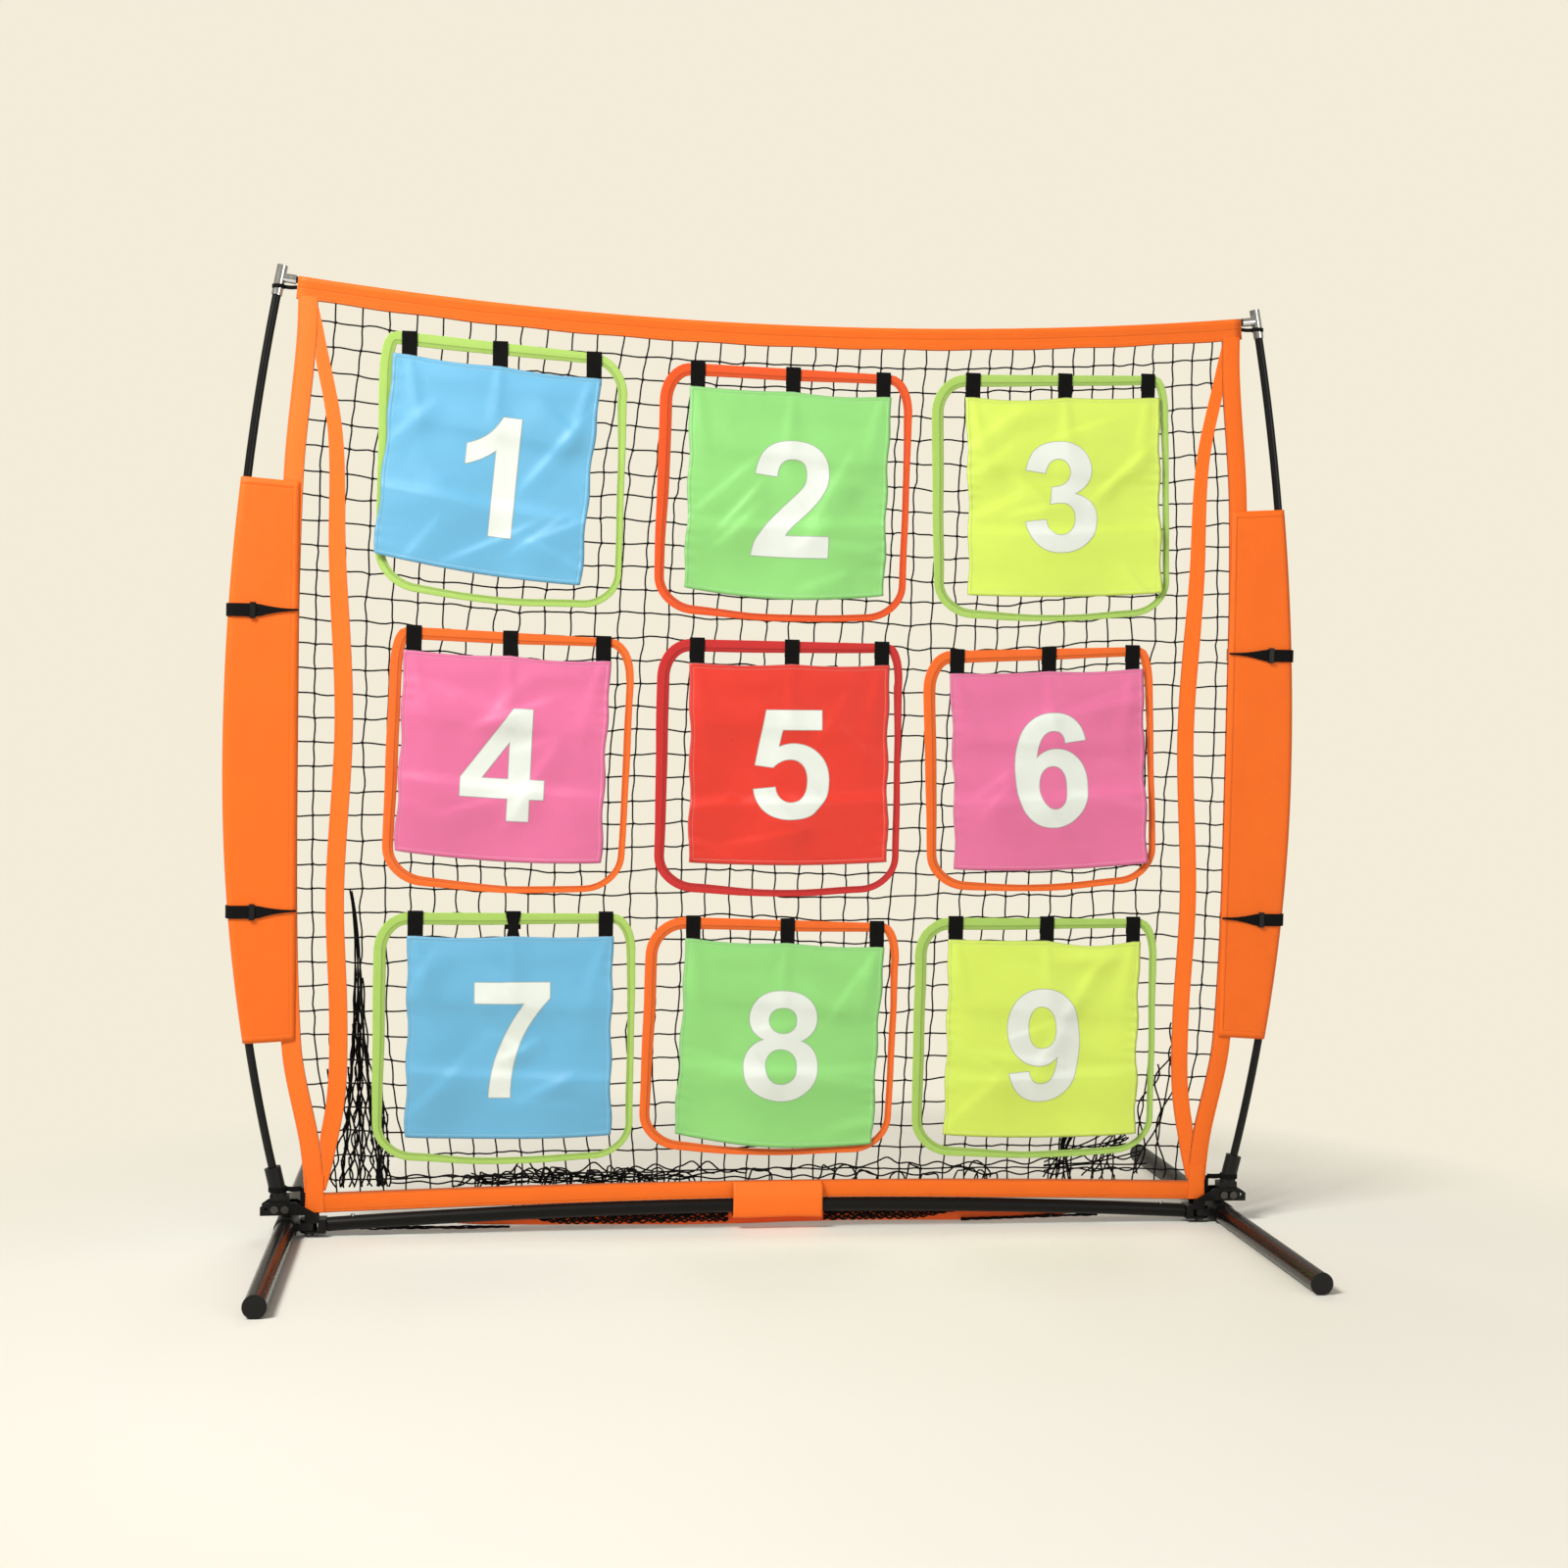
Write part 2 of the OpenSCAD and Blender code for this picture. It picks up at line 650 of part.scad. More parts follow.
// Fabric round the middle of the crossbar and a band along its back
band_y = bar_d / 2 + 1.8;
module wrap_section(t) {
    r = bar_d / 2 + gap + 0.1 + t;
    neck = edge_y + gap + t;
    top = hem_low(0) + hem_h - 1 + (t == 0 ? 2 : 0);
    translate([0, bar_height(0)]) circle(r);
    polygon([[-neck, top], [neck, top], [r - 0.6, bar_height(0) + 3],
        [0.6 - r, bar_height(0) + 3]]);
    polygon([[-r, bar_height(0)], [t - r + 2, band_low + 5 - t], [3 - t - bar_d / 4, band_low + cloth_t - t],
        [band_y - 1 + t, band_low + cloth_t - t], [band_y + t, band_low + 4 - t],
        [band_y + t, band_top - 2], [r, bar_height(0)]]);
}

module ground_band() {
    steps = 20;
    color(orange) {
        translate([wrap_x - wrap_w / 2, 0, 0]) rotate([90, 0, 90])
            linear_extrude(wrap_w) difference() {
                wrap_section(cloth_t);
                wrap_section(0);
            }
        difference() {
            upright(band_y, band_y + cloth_t) polygon([
                for (i = [0 : steps]) let (f = i / steps)
                    [wrap_x + band_length * (f - 0.5),
                        band_low + 1.2 * (1 - cos(900 * f)) + 14 * pow(2 * f - 1, 6)],
                for (i = [steps : -1 : 0]) let (f = i / steps)
                    [wrap_x + band_length * (f - 0.5), band_top + 1.5 * sin(1080 * f)]
            ]);
            translate([wrap_x - wrap_w / 2 + 1, 0, 0]) cube([wrap_w - 2, 40, 60]);
        }
    }
}

// ---- Side sleeves and their straps ----

sleeve_x = leg_x - sleeve_in;
sleeve_edge = edge_y + gap + cloth_t;
sleeve_r = ferrule_r + gap + cloth_t + 0.5;
round_steps = 8;
// One side of the fold: inner edge, round the pole, back to the inner edge
function fold_path(z, off) =
    let (r = sleeve_r + off, h = sleeve_edge + off, px = pole_x(z),
        lean = asin((r - h) / (px - sleeve_x)))
    concat([[sleeve_x, -h, z]],
        [for (k = [0 : round_steps]) let (a = between(-90 - lean, 90 + lean, k / round_steps))
            [px + r * cos(a), r * sin(a), z]],
        [[sleeve_x, h, z]]);
function fold_ring(z, inner, outer) =
    let (o = fold_path(z, outer), i = fold_path(z, inner))
    concat(o, [for (k = [len(i) - 1 : -1 : 0]) i[k]]);

sleeve_steps = 10;
module side_sleeve(side) {
    color(orange) mirrored(side) strip_loft([for (k = [0 : sleeve_steps])
        fold_ring(between(sleeve_low, sleeve_high, k / sleeve_steps), -cloth_t, 0)]);
}

// A strap buckled round the sleeve, drawn to a point at the inner edge
strap_gap = 2 * gap + 1;
function keeper_x(z) = pole_x(z) - keeper_travel - 10;
function strap_run(z, k, off) =
    let (p = fold_path(z, off), x = keeper_x(z) - keeper_l,
        t = (x - sleeve_x) / (p[1][0] - sleeve_x))
    concat([[sleeve_x, p[0][1], z + 2 + 1.5 * k],
            [x, between(p[0][1], p[1][1], t), z + strap_w / 2 * k]],
        [for (i = [1 : len(p) - 1]) [p[i][0], p[i][1], z + strap_w / 2 * k]]);
module sleeve_strap(z) {
    strip_loft([for (k = [-1, 1])
        let (o = strap_run(z, k, strap_gap + cloth_t), i = strap_run(z, k, strap_gap))
        concat(o, [for (j = [len(i) - 1 : -1 : 0]) i[j]])]);
}

module sleeve_straps() {
    color(black_cord) {
        for (z = left_strap_z) mirrored(-1) sleeve_strap(z);
        for (z = right_strap_z) sleeve_strap(z);
    }
}

// A keeper, closed round a strap, that slides along its front run
function strap_lean(z) = asin((sleeve_r - sleeve_edge) / (pole_x(z) - sleeve_x));
module strap_keeper(side, z) {
    front = sleeve_edge + (keeper_x(z) - sleeve_x) * tan(strap_lean(z));
    half = strap_w / 2 + gap;
    deep = strap_gap + cloth_t + gap;
    color(black_plastic) mirrored(side) translate([keeper_x(z), -front, z])
        rotate([0, 0, -strap_lean(z)]) difference() {
            translate([-keeper_l / 2, -deep - 1.5, -half - 2])
                cube([keeper_l, deep + 1.5 - gap, 2 * half + 4]);
            translate([-keeper_l, -deep, -half])
                cube([2 * keeper_l, deep - gap - 1, 2 * half]);
        }
}

// Webbing loops that tie the net's corners to the sockets and the tees
module corner_straps() {
    arm_z = tongue_top + 1.5;
    ring_z = arm_z + 3;
    high_z = tee_low + 10;
    tail_t = 2 * cloth_t;
    arm_x = hem_half + 5;
    high_x = top_half + gap + 28 * rod_sag / tee_x;
    color(black_cord) for (side = [-1, 1]) mirrored(side) {
        difference() {
            union() {
                pole_arc(socket_d / 2 + gap + cloth_t, ring_z, ring_z + 8);
                translate([hem_half + gap, -tail_t / 2, arm_z - 20])
                    cube([8, tail_t, 20.5]);
                translate([arm_x, -tail_t / 2, arm_z])
                    cube([pole_x(arm_z) - arm_x - 10, tail_t, 10]);
            }
            pole_arc(socket_d / 2 + gap, cheek_top, socket_top_z + 5);
        }
        difference() {
            union() {
                pole_arc(tee_d / 2 + gap + cloth_t, high_z, high_z + 6);
                translate([high_x, -tail_t / 2, high_z])
                    cube([pole_x(high_z) - tee_d / 2 + 1 - high_x, tail_t, 6]);
            }
            pole_arc(tee_d / 2 + gap, tee_low - 5, tee_top);
        }
    }
}

// ---- Targets ----

// How each target hangs: sideways and upward shift of its loop, its tilt,
// the sideways shift and extra tilt of its flap, and the loop's share of the
// full width and height
HANG = [[-3, 16, -4, -8, -1, 0.955, 1], [5, -3, -1, 8, 0, 1.01, 0.99],
    [6, 6, 2, 14, 0, 0.98, 0.98], [13, 2, -2, -3, 0, 0.945, 1.01],
    [5, -2, 0, 14, 0.5, 0.985, 1.01], [-2, 2, 2.5, 6, 0, 0.955, 0.975],
    [12, 3, 0, 8, 0, 1.02, 0.985], [-2, 3, -1.5, 22, -1, 1.02, 0.94],
    [-1, 0, 0, 12, -0.5, 1.01, 0.975]];
loop_colours = [lime, loop_vermilion, lime, loop_orange, loop_red, loop_orange,
    lime, loop_orange, lime];
flap_colours = [blue, green, neon, pink, red, pink, blue, green, neon];
function loop_place(n) = [((n - 1) % 3 - 1) * target_pitch + HANG[n - 1][0],
    (1 - floor((n - 1) / 3)) * target_pitch + target_z + HANG[n - 1][1]];
function loop_tilt(n) = HANG[n - 1][2];
function flap_tilt(n) = HANG[n - 1][2] + HANG[n - 1][4];
function loop_wide(n) = loop_size * HANG[n - 1][5];
function loop_high(n) = loop_size * HANG[n - 1][6];
// Middle of a flap's top edge, where it hinges
function flap_place(n) = loop_place(n) + [HANG[n - 1][3],
    loop_high(n) / 2 - flap_drop + HANG[n - 1][3] * tan(loop_tilt(n))];
function loop_top(n, x) = loop_place(n)[1] + loop_high(n) / 2
    + (x - loop_place(n)[0]) * tan(loop_tilt(n));
// Tabs at the flap's ends and its middle, kept off the turns of the loop's corners
tab_u = [-0.46, 0.01, 0.46];
function tab_reach_max(n) = loop_wide(n) / 2 - loop_w - 2 - tab_w / 2;
function tab_x(n, k) =
    let (lean = loop_high(n) / 2 * sin(loop_tilt(n)),
        want = (HANG[n - 1][3] + tab_u[k] * flap_w) * cos(loop_tilt(n)) + lean,
        held = min(max(want, -tab_reach_max(n)), tab_reach_max(n)))
    loop_place(n)[0] + (held - lean) / cos(loop_tilt(n));

// Corner widths: the outer tabs draw the upper corners tighter
function tab_reach(n, k) = abs((tab_x(n, k) - loop_place(n)[0]) * cos(loop_tilt(n))
    + loop_high(n) / 2 * sin(loop_tilt(n))) + tab_w / 2;
function corner_w(n, k) = min(loop_r,
    max(loop_w + 3, loop_wide(n) / 2 - tab_reach(n, k) + 1));
corner_steps = 10;
function loop_corner(n, s, inset) =
    let (w = [corner_w(n, 2), corner_w(n, 0), loop_r, loop_r][s])
    [for (k = [0 : corner_steps]) let (t = 90 * (s + k / corner_steps))
        [(s == 0 || s == 3 ? 1 : -1) * (loop_wide(n) / 2 - w) + (w - inset) * cos(t),
            (s < 2 ? 1 : -1) * (loop_high(n) / 2 - loop_r) + (loop_r - inset) * sin(t)]];
module loop_outline(n, inset) {
    polygon([for (s = [0 : 3]) each loop_corner(n, s, inset)]);
}

tab_low = loop_w + 4.5;
tab_high = 1.8;
module target_loop(n) {
    color(loop_colours[n - 1]) difference() {
        translate([loop_place(n)[0], 0, loop_place(n)[1]]) rotate([0, -loop_tilt(n), 0])
            upright(-loop_y, -loop_back) difference() {
                loop_outline(n, 0);
                loop_outline(n, loop_w);
            }
        for (k = [0 : 2]) translate([tab_x(n, k) - tab_w / 2 - 1, -loop_thin,
            loop_top(n, tab_x(n, k)) - tab_low - 6]) cube([tab_w + 2, loop_thin, tab_low + 12]);
    }
}

// A tab: webbing folded round the loop's top run, sewn behind the flap
module flap_tabs() {
    color(black_cord) for (n = [1 : 9], k = [0 : 2]) {
        x = tab_x(n, k);
        top = loop_top(n, x) + tab_high;
        low = loop_top(n, x) - tab_low;
        foot = flap_place(n)[1] + (x - flap_place(n)[0]) * tan(flap_tilt(n)) - 12;
        translate([x - tab_w / 2, 0, 0]) {
            translate([0, -tab_y, foot]) cube([tab_w, cloth_t, top + cloth_t - foot]);
            translate([0, -tab_back - cloth_t, low - cloth_t])
                cube([tab_w, cloth_t, top - low + 2 * cloth_t]);
            for (z = [low - cloth_t, top])
                translate([0, -tab_y, z]) cube([tab_w, tab_y - tab_back, cloth_t]);
        }
    }
}

// A flap's cloth: u across from -0.5 to 0.5, v down from 0 to 1
flap_cols = 9;
flap_rows = 8;
function flap_bulge(n, u, v) =
    fold * (0.25 + 0.75 * v) * pow(sin(180 * min(v * 1.6, 1) * 0.5), 2)
    * (0.5 + 0.5 * sin(360 * (1.2 * u + 0.37 * n) + 130 * v))
    + 0.35 * fold * exp(-pow((v - 0.68) / 0.07, 2));
function flap_point(n, u, v, back) = [
    flap_w * u * (1 - 0.012 * sin(180 * v)),
    -flap_y - flap_bulge(n, u, v) + (back ? cloth_t / 2 : -cloth_t / 2),
    -flap_h * v - 4 * v * cos(180 * u)
];
module flap(n) {
    nu = flap_cols + 1;
    side_count = nu * (flap_rows + 1);
    function at(i, j, b) = b * side_count + j * nu + i;
    color(flap_colours[n - 1]) translate([flap_place(n)[0], 0, flap_place(n)[1]])
        rotate([0, -flap_tilt(n), 0]) polyhedron(
            points = [for (b = [0, 1], j = [0 : flap_rows], i = [0 : flap_cols])
                flap_point(n, i / flap_cols - 0.5, j / flap_rows, b == 1)],
            faces = [
                for (j = [0 : flap_rows - 1], i = [0 : flap_cols - 1]) each [
                    [at(i, j, 0), at(i + 1, j, 0), at(i + 1, j + 1, 0)],
                    [at(i, j, 0), at(i + 1, j + 1, 0), at(i, j + 1, 0)],
                    [at(i, j, 1), at(i + 1, j + 1, 1), at(i + 1, j, 1)],
                    [at(i, j, 1), at(i, j + 1, 1), at(i + 1, j + 1, 1)]],
                for (i = [0 : flap_cols - 1]) each [
                    [at(i, 0, 0), at(i, 0, 1), at(i + 1, 0, 1)],
                    [at(i, 0, 0), at(i + 1, 0, 1), at(i + 1, 0, 0)],
                    [at(i, flap_rows, 0), at(i + 1, flap_rows, 1), at(i, flap_rows, 1)],
                    [at(i, flap_rows, 0), at(i + 1, flap_rows, 0), at(i + 1, flap_rows, 1)]],
                for (j = [0 : flap_rows - 1]) each [
                    [at(0, j, 0), at(0, j + 1, 0), at(0, j + 1, 1)],
                    [at(0, j, 0), at(0, j + 1, 1), at(0, j, 1)],
                    [at(flap_cols, j, 0), at(flap_cols, j, 1), at(flap_cols, j + 1, 1)],
                    [at(flap_cols, j, 0), at(flap_cols, j + 1, 1), at(flap_cols, j + 1, 0)]]
            ]);
}

leg_tube(-1);  // left_leg_tube
leg_tube(1);  // right_leg_tube
leg_caps(-1);  // left_leg_caps
leg_caps(1);  // right_leg_caps
leg_saddle(-1);  // left_leg_saddle
leg_saddle(1);  // right_leg_saddle
corner_bracket(-1);  // left_corner_bracket
corner_bracket(1);  // right_corner_bracket
pole_socket(-1);  // left_pole_socket
pole_socket(1);  // right_pole_socket
swivel_bolts();
socket_bolts();
crossbar(-1);  // left_crossbar
crossbar(1);  // right_crossbar
crossbar_joiner();
snap_button(-1);  // left_snap_button
snap_button(1);  // right_snap_button
lower_pole(-1);  // left_lower_pole
upper_pole(-1);  // left_upper_pole
lower_pole(1);  // right_lower_pole
upper_pole(1);  // right_upper_pole
pole_ferrules();
pole_tees();
top_rod();
top_sleeve();
face_net();
catch_net();
bottom_webbing();
ground_band();
edge_webbing(-1);  // left_edge_webbing
edge_webbing(1);  // right_edge_webbing
mouth_webbing();
side_sleeve(-1);  // left_side_sleeve
side_sleeve(1);  // right_side_sleeve
sleeve_straps();
strap_keeper(-1, left_strap_z[0]);  // left_lower_keeper
strap_keeper(-1, left_strap_z[1]);  // left_upper_keeper
strap_keeper(1, right_strap_z[0]);  // right_lower_keeper
strap_keeper(1, right_strap_z[1]);  // right_upper_keeper
corner_straps();
flap_tabs();
for (n = [1 : 9]) target_loop(n);
for (n = [1 : 9]) flap(n);
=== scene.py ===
"""Pitching target net: the knotted net, cloth, webbing and printed numbers over
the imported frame, with every material, the floor, the light and the camera.
Sizes are in millimetres and turn into metres where a mesh is made."""

import math

import bmesh
import bpy
import numpy as np
from mathutils import Matrix, Vector
from numpy import clip, cos, exp, linspace, pi, sin, stack

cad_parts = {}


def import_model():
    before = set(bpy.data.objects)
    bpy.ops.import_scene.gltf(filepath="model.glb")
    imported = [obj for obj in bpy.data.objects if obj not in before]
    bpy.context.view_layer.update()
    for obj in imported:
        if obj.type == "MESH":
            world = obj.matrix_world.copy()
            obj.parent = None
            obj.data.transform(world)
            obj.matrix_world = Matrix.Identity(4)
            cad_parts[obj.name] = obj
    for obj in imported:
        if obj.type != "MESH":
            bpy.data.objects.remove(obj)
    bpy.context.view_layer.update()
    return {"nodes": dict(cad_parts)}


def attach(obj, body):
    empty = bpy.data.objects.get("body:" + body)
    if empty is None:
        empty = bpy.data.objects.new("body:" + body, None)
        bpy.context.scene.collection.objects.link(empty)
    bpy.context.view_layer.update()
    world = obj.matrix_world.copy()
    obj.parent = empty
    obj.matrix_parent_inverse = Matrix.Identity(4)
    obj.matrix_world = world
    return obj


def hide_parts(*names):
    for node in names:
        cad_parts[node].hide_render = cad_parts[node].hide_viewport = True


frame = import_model()
nodes = frame["nodes"]
rng = np.random.default_rng(7)

# ---- Sizes that the cloth shares with the frame, in millimetres ----

MM = 0.001
SIDES = ((-1, "left"), (1, "right"))


def xyz(x, y, z):
    """Points from their coordinates, each one number or one for every point."""
    return stack(np.broadcast_arrays(x, y, z), -1)


def run_along(line):
    """The length from a line's first point to each of its points."""
    return np.r_[0, np.cumsum(np.linalg.norm(np.diff(line, axis=0), axis=1))]


def bend(half, rise):
    """The radius of an arc that rises by rise over half its chord."""
    return (half**2 + rise**2) / (2 * rise)


LEG_X = 750
BAR_D, BAR_MID, BAR_END, BAR_RISE = 22, 38, 690, 20
BAR_R = bend(BAR_END, BAR_RISE)
TONGUE_TOP, POLE_LOW = 65.85, 61.35
BOW_X, BOW_Z, LOW_TUCK, TOP_TUCK = 843, 730, 81.5, 71
ROD_Z, ROD_SAG, ROD_D = 1470, 45, 10
LOW_BOW_R = bend(BOW_Z - POLE_LOW, LOW_TUCK)
UP_BOW_R = bend(ROD_Z - BOW_Z, TOP_TUCK)
TEE_LOW, TEE_D, SOCKET_D = ROD_Z - 27, 16, 25
TOP_DROP = 28
STRAND = 2.2
GAP = 0.3
CLOTH = 1.2
NET_Y = STRAND / 2
EDGE_Y = NET_Y + GAP + CLOTH
EDGE_W, MOUTH_W, HEM_H, HEM_HALF = 30, 28, 28, LEG_X - 28
SIDE_LOW, SIDE_HIGH = 55, ROD_Z - 10
EDGE = [(0, -42), (0.06, -34), (0.175, -4), (0.49, 5), (0.79, 0), (0.943, -18), (1, -20)]
MOUTH = [
    (0, -40), (0.046, -56), (0.117, -73), (0.203, -75), (0.34, -68),
    (0.53, -79), (0.708, -67), (0.843, -62), (0.947, -34),
]
LOOP_SIZE, LOOP_W, LOOP_R = 398, 20, 62
FLAP_W, FLAP_H, FLAP_DROP, FOLD = 320, 314, 36, 7
TAB_W, TAB_U = 24, (-0.46, 0.01, 0.46)
PITCH, TARGET_Z = 432, 737
# Each target: loop shift across and up, tilt, flap shift and tilt, width and height share
HANG = [
    (-3, 16, -4, -8, -1, 0.955, 1), (5, -3, -1, 8, 0, 1.01, 0.99),
    (6, 6, 2, 14, 0, 0.98, 0.98), (13, 2, -2, -3, 0, 0.945, 1.01),
    (5, -2, 0, 14, 0.5, 0.985, 1.01), (-2, 2, 2.5, 6, 0, 0.955, 0.975),
    (12, 3, 0, 8, 0, 1.02, 0.985), (-2, 3, -1.5, 22, -1, 1.02, 0.94),
    (-1, 0, 0, 12, -0.5, 1.01, 0.975),
]
LOOP_Y = NET_Y + GAP + CLOTH + GAP + 1.5
FLAP_Y = LOOP_Y + GAP + CLOTH + GAP + CLOTH / 2
SLEEVE_X, SLEEVE_LOW, SLEEVE_HIGH = LEG_X - 10, 300, 1168
SLEEVE_EDGE = EDGE_Y + GAP + CLOTH
SLEEVE_R = 7.59 + GAP + CLOTH + 0.5
STRAP_W, STRAP_GAP = 20, 1.6
STRAP_Z = {-1: (504, 965), 1: (498, 930)}
KEEPER_BACK, KEEPER_L = 28, 8


def bar_height(x):
    return BAR_MID - BAR_R + np.sqrt(BAR_R**2 - np.square(x))


def pole_x(z):
    r = np.where(np.asarray(z) < BOW_Z, LOW_BOW_R, UP_BOW_R)
    return BOW_X - r + np.sqrt(r**2 - np.square(np.asarray(z, float) - BOW_Z))


TEE_X = float(pole_x(ROD_Z))
TOP_HALF = TEE_X - 27
ROD_R = bend(TEE_X, ROD_SAG)


def rod_height(x):
    return ROD_Z - ROD_SAG + ROD_R - np.sqrt(ROD_R**2 - np.square(x))


def hem_low(x):
    return bar_height(0) + BAR_D / 2 + 0.5 - 12 * np.square(np.asarray(x) / LEG_X)


def follow(stations, f):
    """The smooth curve through stations (place, value), at places f."""
    at, value = np.array(stations, float).T
    span = np.diff(at)
    before, after = np.r_[0, np.arange(len(at) - 1)], np.r_[1 : len(at), len(at) - 1]
    lean = (value[after] - value[before]) / (at[after] - at[before])
    i = clip(np.searchsorted(at, f, "right") - 1, 0, len(span) - 1)
    t = clip((f - at[i]) / span[i], 0, 1)
    s = 1 - t
    return (
        s * s * (1 + 2 * t) * value[i]
        + t * t * (1 + 2 * s) * value[i + 1]
        + span[i] * s * t * (s * lean[i] - t * lean[i + 1])
    )


def side_x(stations, z):
    share = (np.asarray(z, float) - SIDE_LOW) / (SIDE_HIGH - SIDE_LOW)
    return LEG_X + follow(stations, share)


def net_point(u, v):
    """A place on the net: u from -1 to 1 across, v from 0 to 1 upwards."""
    low = hem_low(u * LEG_X) + 10
    high = rod_height(u * LEG_X) - TOP_DROP + 8
    z = low + (high - low) * v
    return xyz(u * side_x(EDGE, z), 0, z)


def loop_place(n):
    dx, dz = HANG[n - 1][:2]
    return ((n - 1) % 3 - 1) * PITCH + dx, (1 - (n - 1) // 3) * PITCH + TARGET_Z + dz


def loop_tilt(n):
    return math.radians(HANG[n - 1][2])


def loop_size(n):
    return LOOP_SIZE * HANG[n - 1][5], LOOP_SIZE * HANG[n - 1][6]


def flap_place(n):
    x, z = loop_place(n)
    shift, slope = HANG[n - 1][3], math.tan(loop_tilt(n))
    return x + shift, z + loop_size(n)[1] / 2 - FLAP_DROP + shift * slope


def flap_tilt(n):
    return HANG[n - 1][2] + HANG[n - 1][4]


# ---- Mesh helpers ----


def unit(v):
    return v / np.maximum(np.linalg.norm(v, axis=-1, keepdims=True), 1e-9)


def grid_faces(rows, cols, wrap=False):
    """Quads over a grid of rows by cols points, and each corner's row and column."""
    i, j = np.meshgrid(
        np.arange(rows - 1), np.arange(cols if wrap else cols - 1), indexing="ij"
    )
    i, j = i.ravel(), j.ravel()
    row = stack([i, i, i + 1, i + 1], 1)
    col = stack([j, j + 1, j + 1, j], 1)
    return row * cols + col % cols, row, col


def placed(name, data):
    """A new object in the scene."""
    made = bpy.data.objects.new(name, data)
    bpy.context.scene.collection.objects.link(made)
    return made


def ring_faces(rows, cols):
    """Quads over a closed ring of closed sections, and each corner's row and column."""
    faces, row, col = grid_faces(rows + 1, cols, wrap=True)
    return faces % (rows * cols), row, col % cols


def make(name, body, points, faces, look, uv=None, crisp=0):
    """A mesh object from points in millimetres that rides on a CAD body. Edges
    sharper than crisp degrees stay sharp."""
    mesh = bpy.data.meshes.new(name)
    mesh.from_pydata((np.asarray(points) * MM).tolist(), [], [list(f) for f in faces])
    mesh.materials.append(look)
    if uv is not None:
        layer = mesh.uv_layers.new(name="Weave")
        layer.data.foreach_set("uv", (np.concatenate(uv) * MM).astype(np.float32).ravel())
    mesh.polygons.foreach_set("use_smooth", [True] * len(mesh.polygons))
    if crisp:
        mesh.set_sharp_from_angle(angle=math.radians(crisp))
    mesh.update()
    piece = placed(name, mesh)
    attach(piece, body)
    return piece


class Shape:
    """Collects points, faces and map places of several runs for one mesh."""

    def __init__(self):
        self.points, self.faces, self.uv, self.count = [], [], [], 0

    def add(self, points, faces, uv=None):
        points = np.asarray(points, float).reshape(-1, 3)
        self.points.append(points)
        for k, face in enumerate(faces):
            self.faces.append([int(c) + self.count for c in face])
            self.uv.append(np.zeros((len(face), 2)) if uv is None else np.asarray(uv[k]))
        self.count += len(points)
        return self

    def piece(self, name, body, look, crisp=0):
        points = np.concatenate(self.points)
        return make(name, body, points, self.faces, look, self.uv, crisp)


def sweep(shape, centre, across, depth, profile):
    """A closed profile of (across, depth) points carried along a line. The
    profile may be one for all stations or one for each station."""
    centre = np.asarray(centre, float)
    profile = np.asarray(profile, float)
    if profile.ndim == 2:
        profile = np.repeat(profile[None], len(centre), 0)
    across = np.broadcast_to(across, centre.shape)
    depth = np.broadcast_to(depth, centre.shape)
    points = (
        centre[:, None]
        + across[:, None] * profile[..., :1]
        + depth[:, None] * profile[..., 1:]
    )
    rows, cols = profile.shape[:2]
    faces, row, col = grid_faces(rows, cols, wrap=True)
    run = run_along(centre)
    uv = stack([profile[row, col % cols, 0], run[row]], -1)
    faces, uv = list(faces), list(uv)
    for k, order in ((0, np.arange(cols)[::-1]), (rows - 1, np.arange(cols))):
        faces.append(k * cols + order)
        uv.append(stack([profile[k, order, 0], np.full(cols, run[k])], -1))
    return shape.add(points, faces, uv)


# A way through the net, a little off its axes so that no cord runs along it
THROUGH = (0.11, 1, 0.17)


def tubes(shape, lines, wide, deep, sides=5):
    """Cords along lines of points, wide across the net and deep through it."""
    turn = 2 * pi * np.arange(sides) / sides
    profile = stack([wide / 2 * cos(turn), deep / 2 * sin(turn)], -1)
    for line in lines:
        along = unit(np.gradient(line, axis=0))
        side = unit(np.cross(along, THROUGH))
        sweep(shape, line, side, np.cross(side, along), profile)
    return shape


def knots(shape, centres, across, up, thick):
    """A small pressed ball at each place where two cords are tied."""
    ring, belts = 6, 3
    pole = linspace(-1, 1, belts + 2)[1:-1] * 0.75
    turn = 2 * pi * np.arange(ring) / ring
    ball = [(0, 0, -1)]
    for p in pole:
        r = math.sqrt(1 - p * p)
        ball += [(r * math.cos(a), r * math.sin(a), p) for a in turn]
    ball.append((0, 0, 1))
    ball = np.array(ball) * (across, thick, up)
    faces = [(0, 1 + (k + 1) % ring, 1 + k) for k in range(ring)]
    for b in range(belts - 1):
        low = 1 + b * ring
        for k in range(ring):
            q = (k + 1) % ring
            faces.append((low + k, low + q, low + ring + q, low + ring + k))
    top, last = len(ball) - 1, 1 + (belts - 1) * ring
    faces += [(last + k, last + (k + 1) % ring, top) for k in range(ring)]
    for c in centres:
        lean = rng.uniform(-0.7, 0.7)
        x = ball[:, 0] * math.cos(lean) - ball[:, 2] * math.sin(lean)
        z = ball[:, 0] * math.sin(lean) + ball[:, 2] * math.cos(lean)
        shape.add(c + xyz(x, ball[:, 1], z), faces)
    return shape


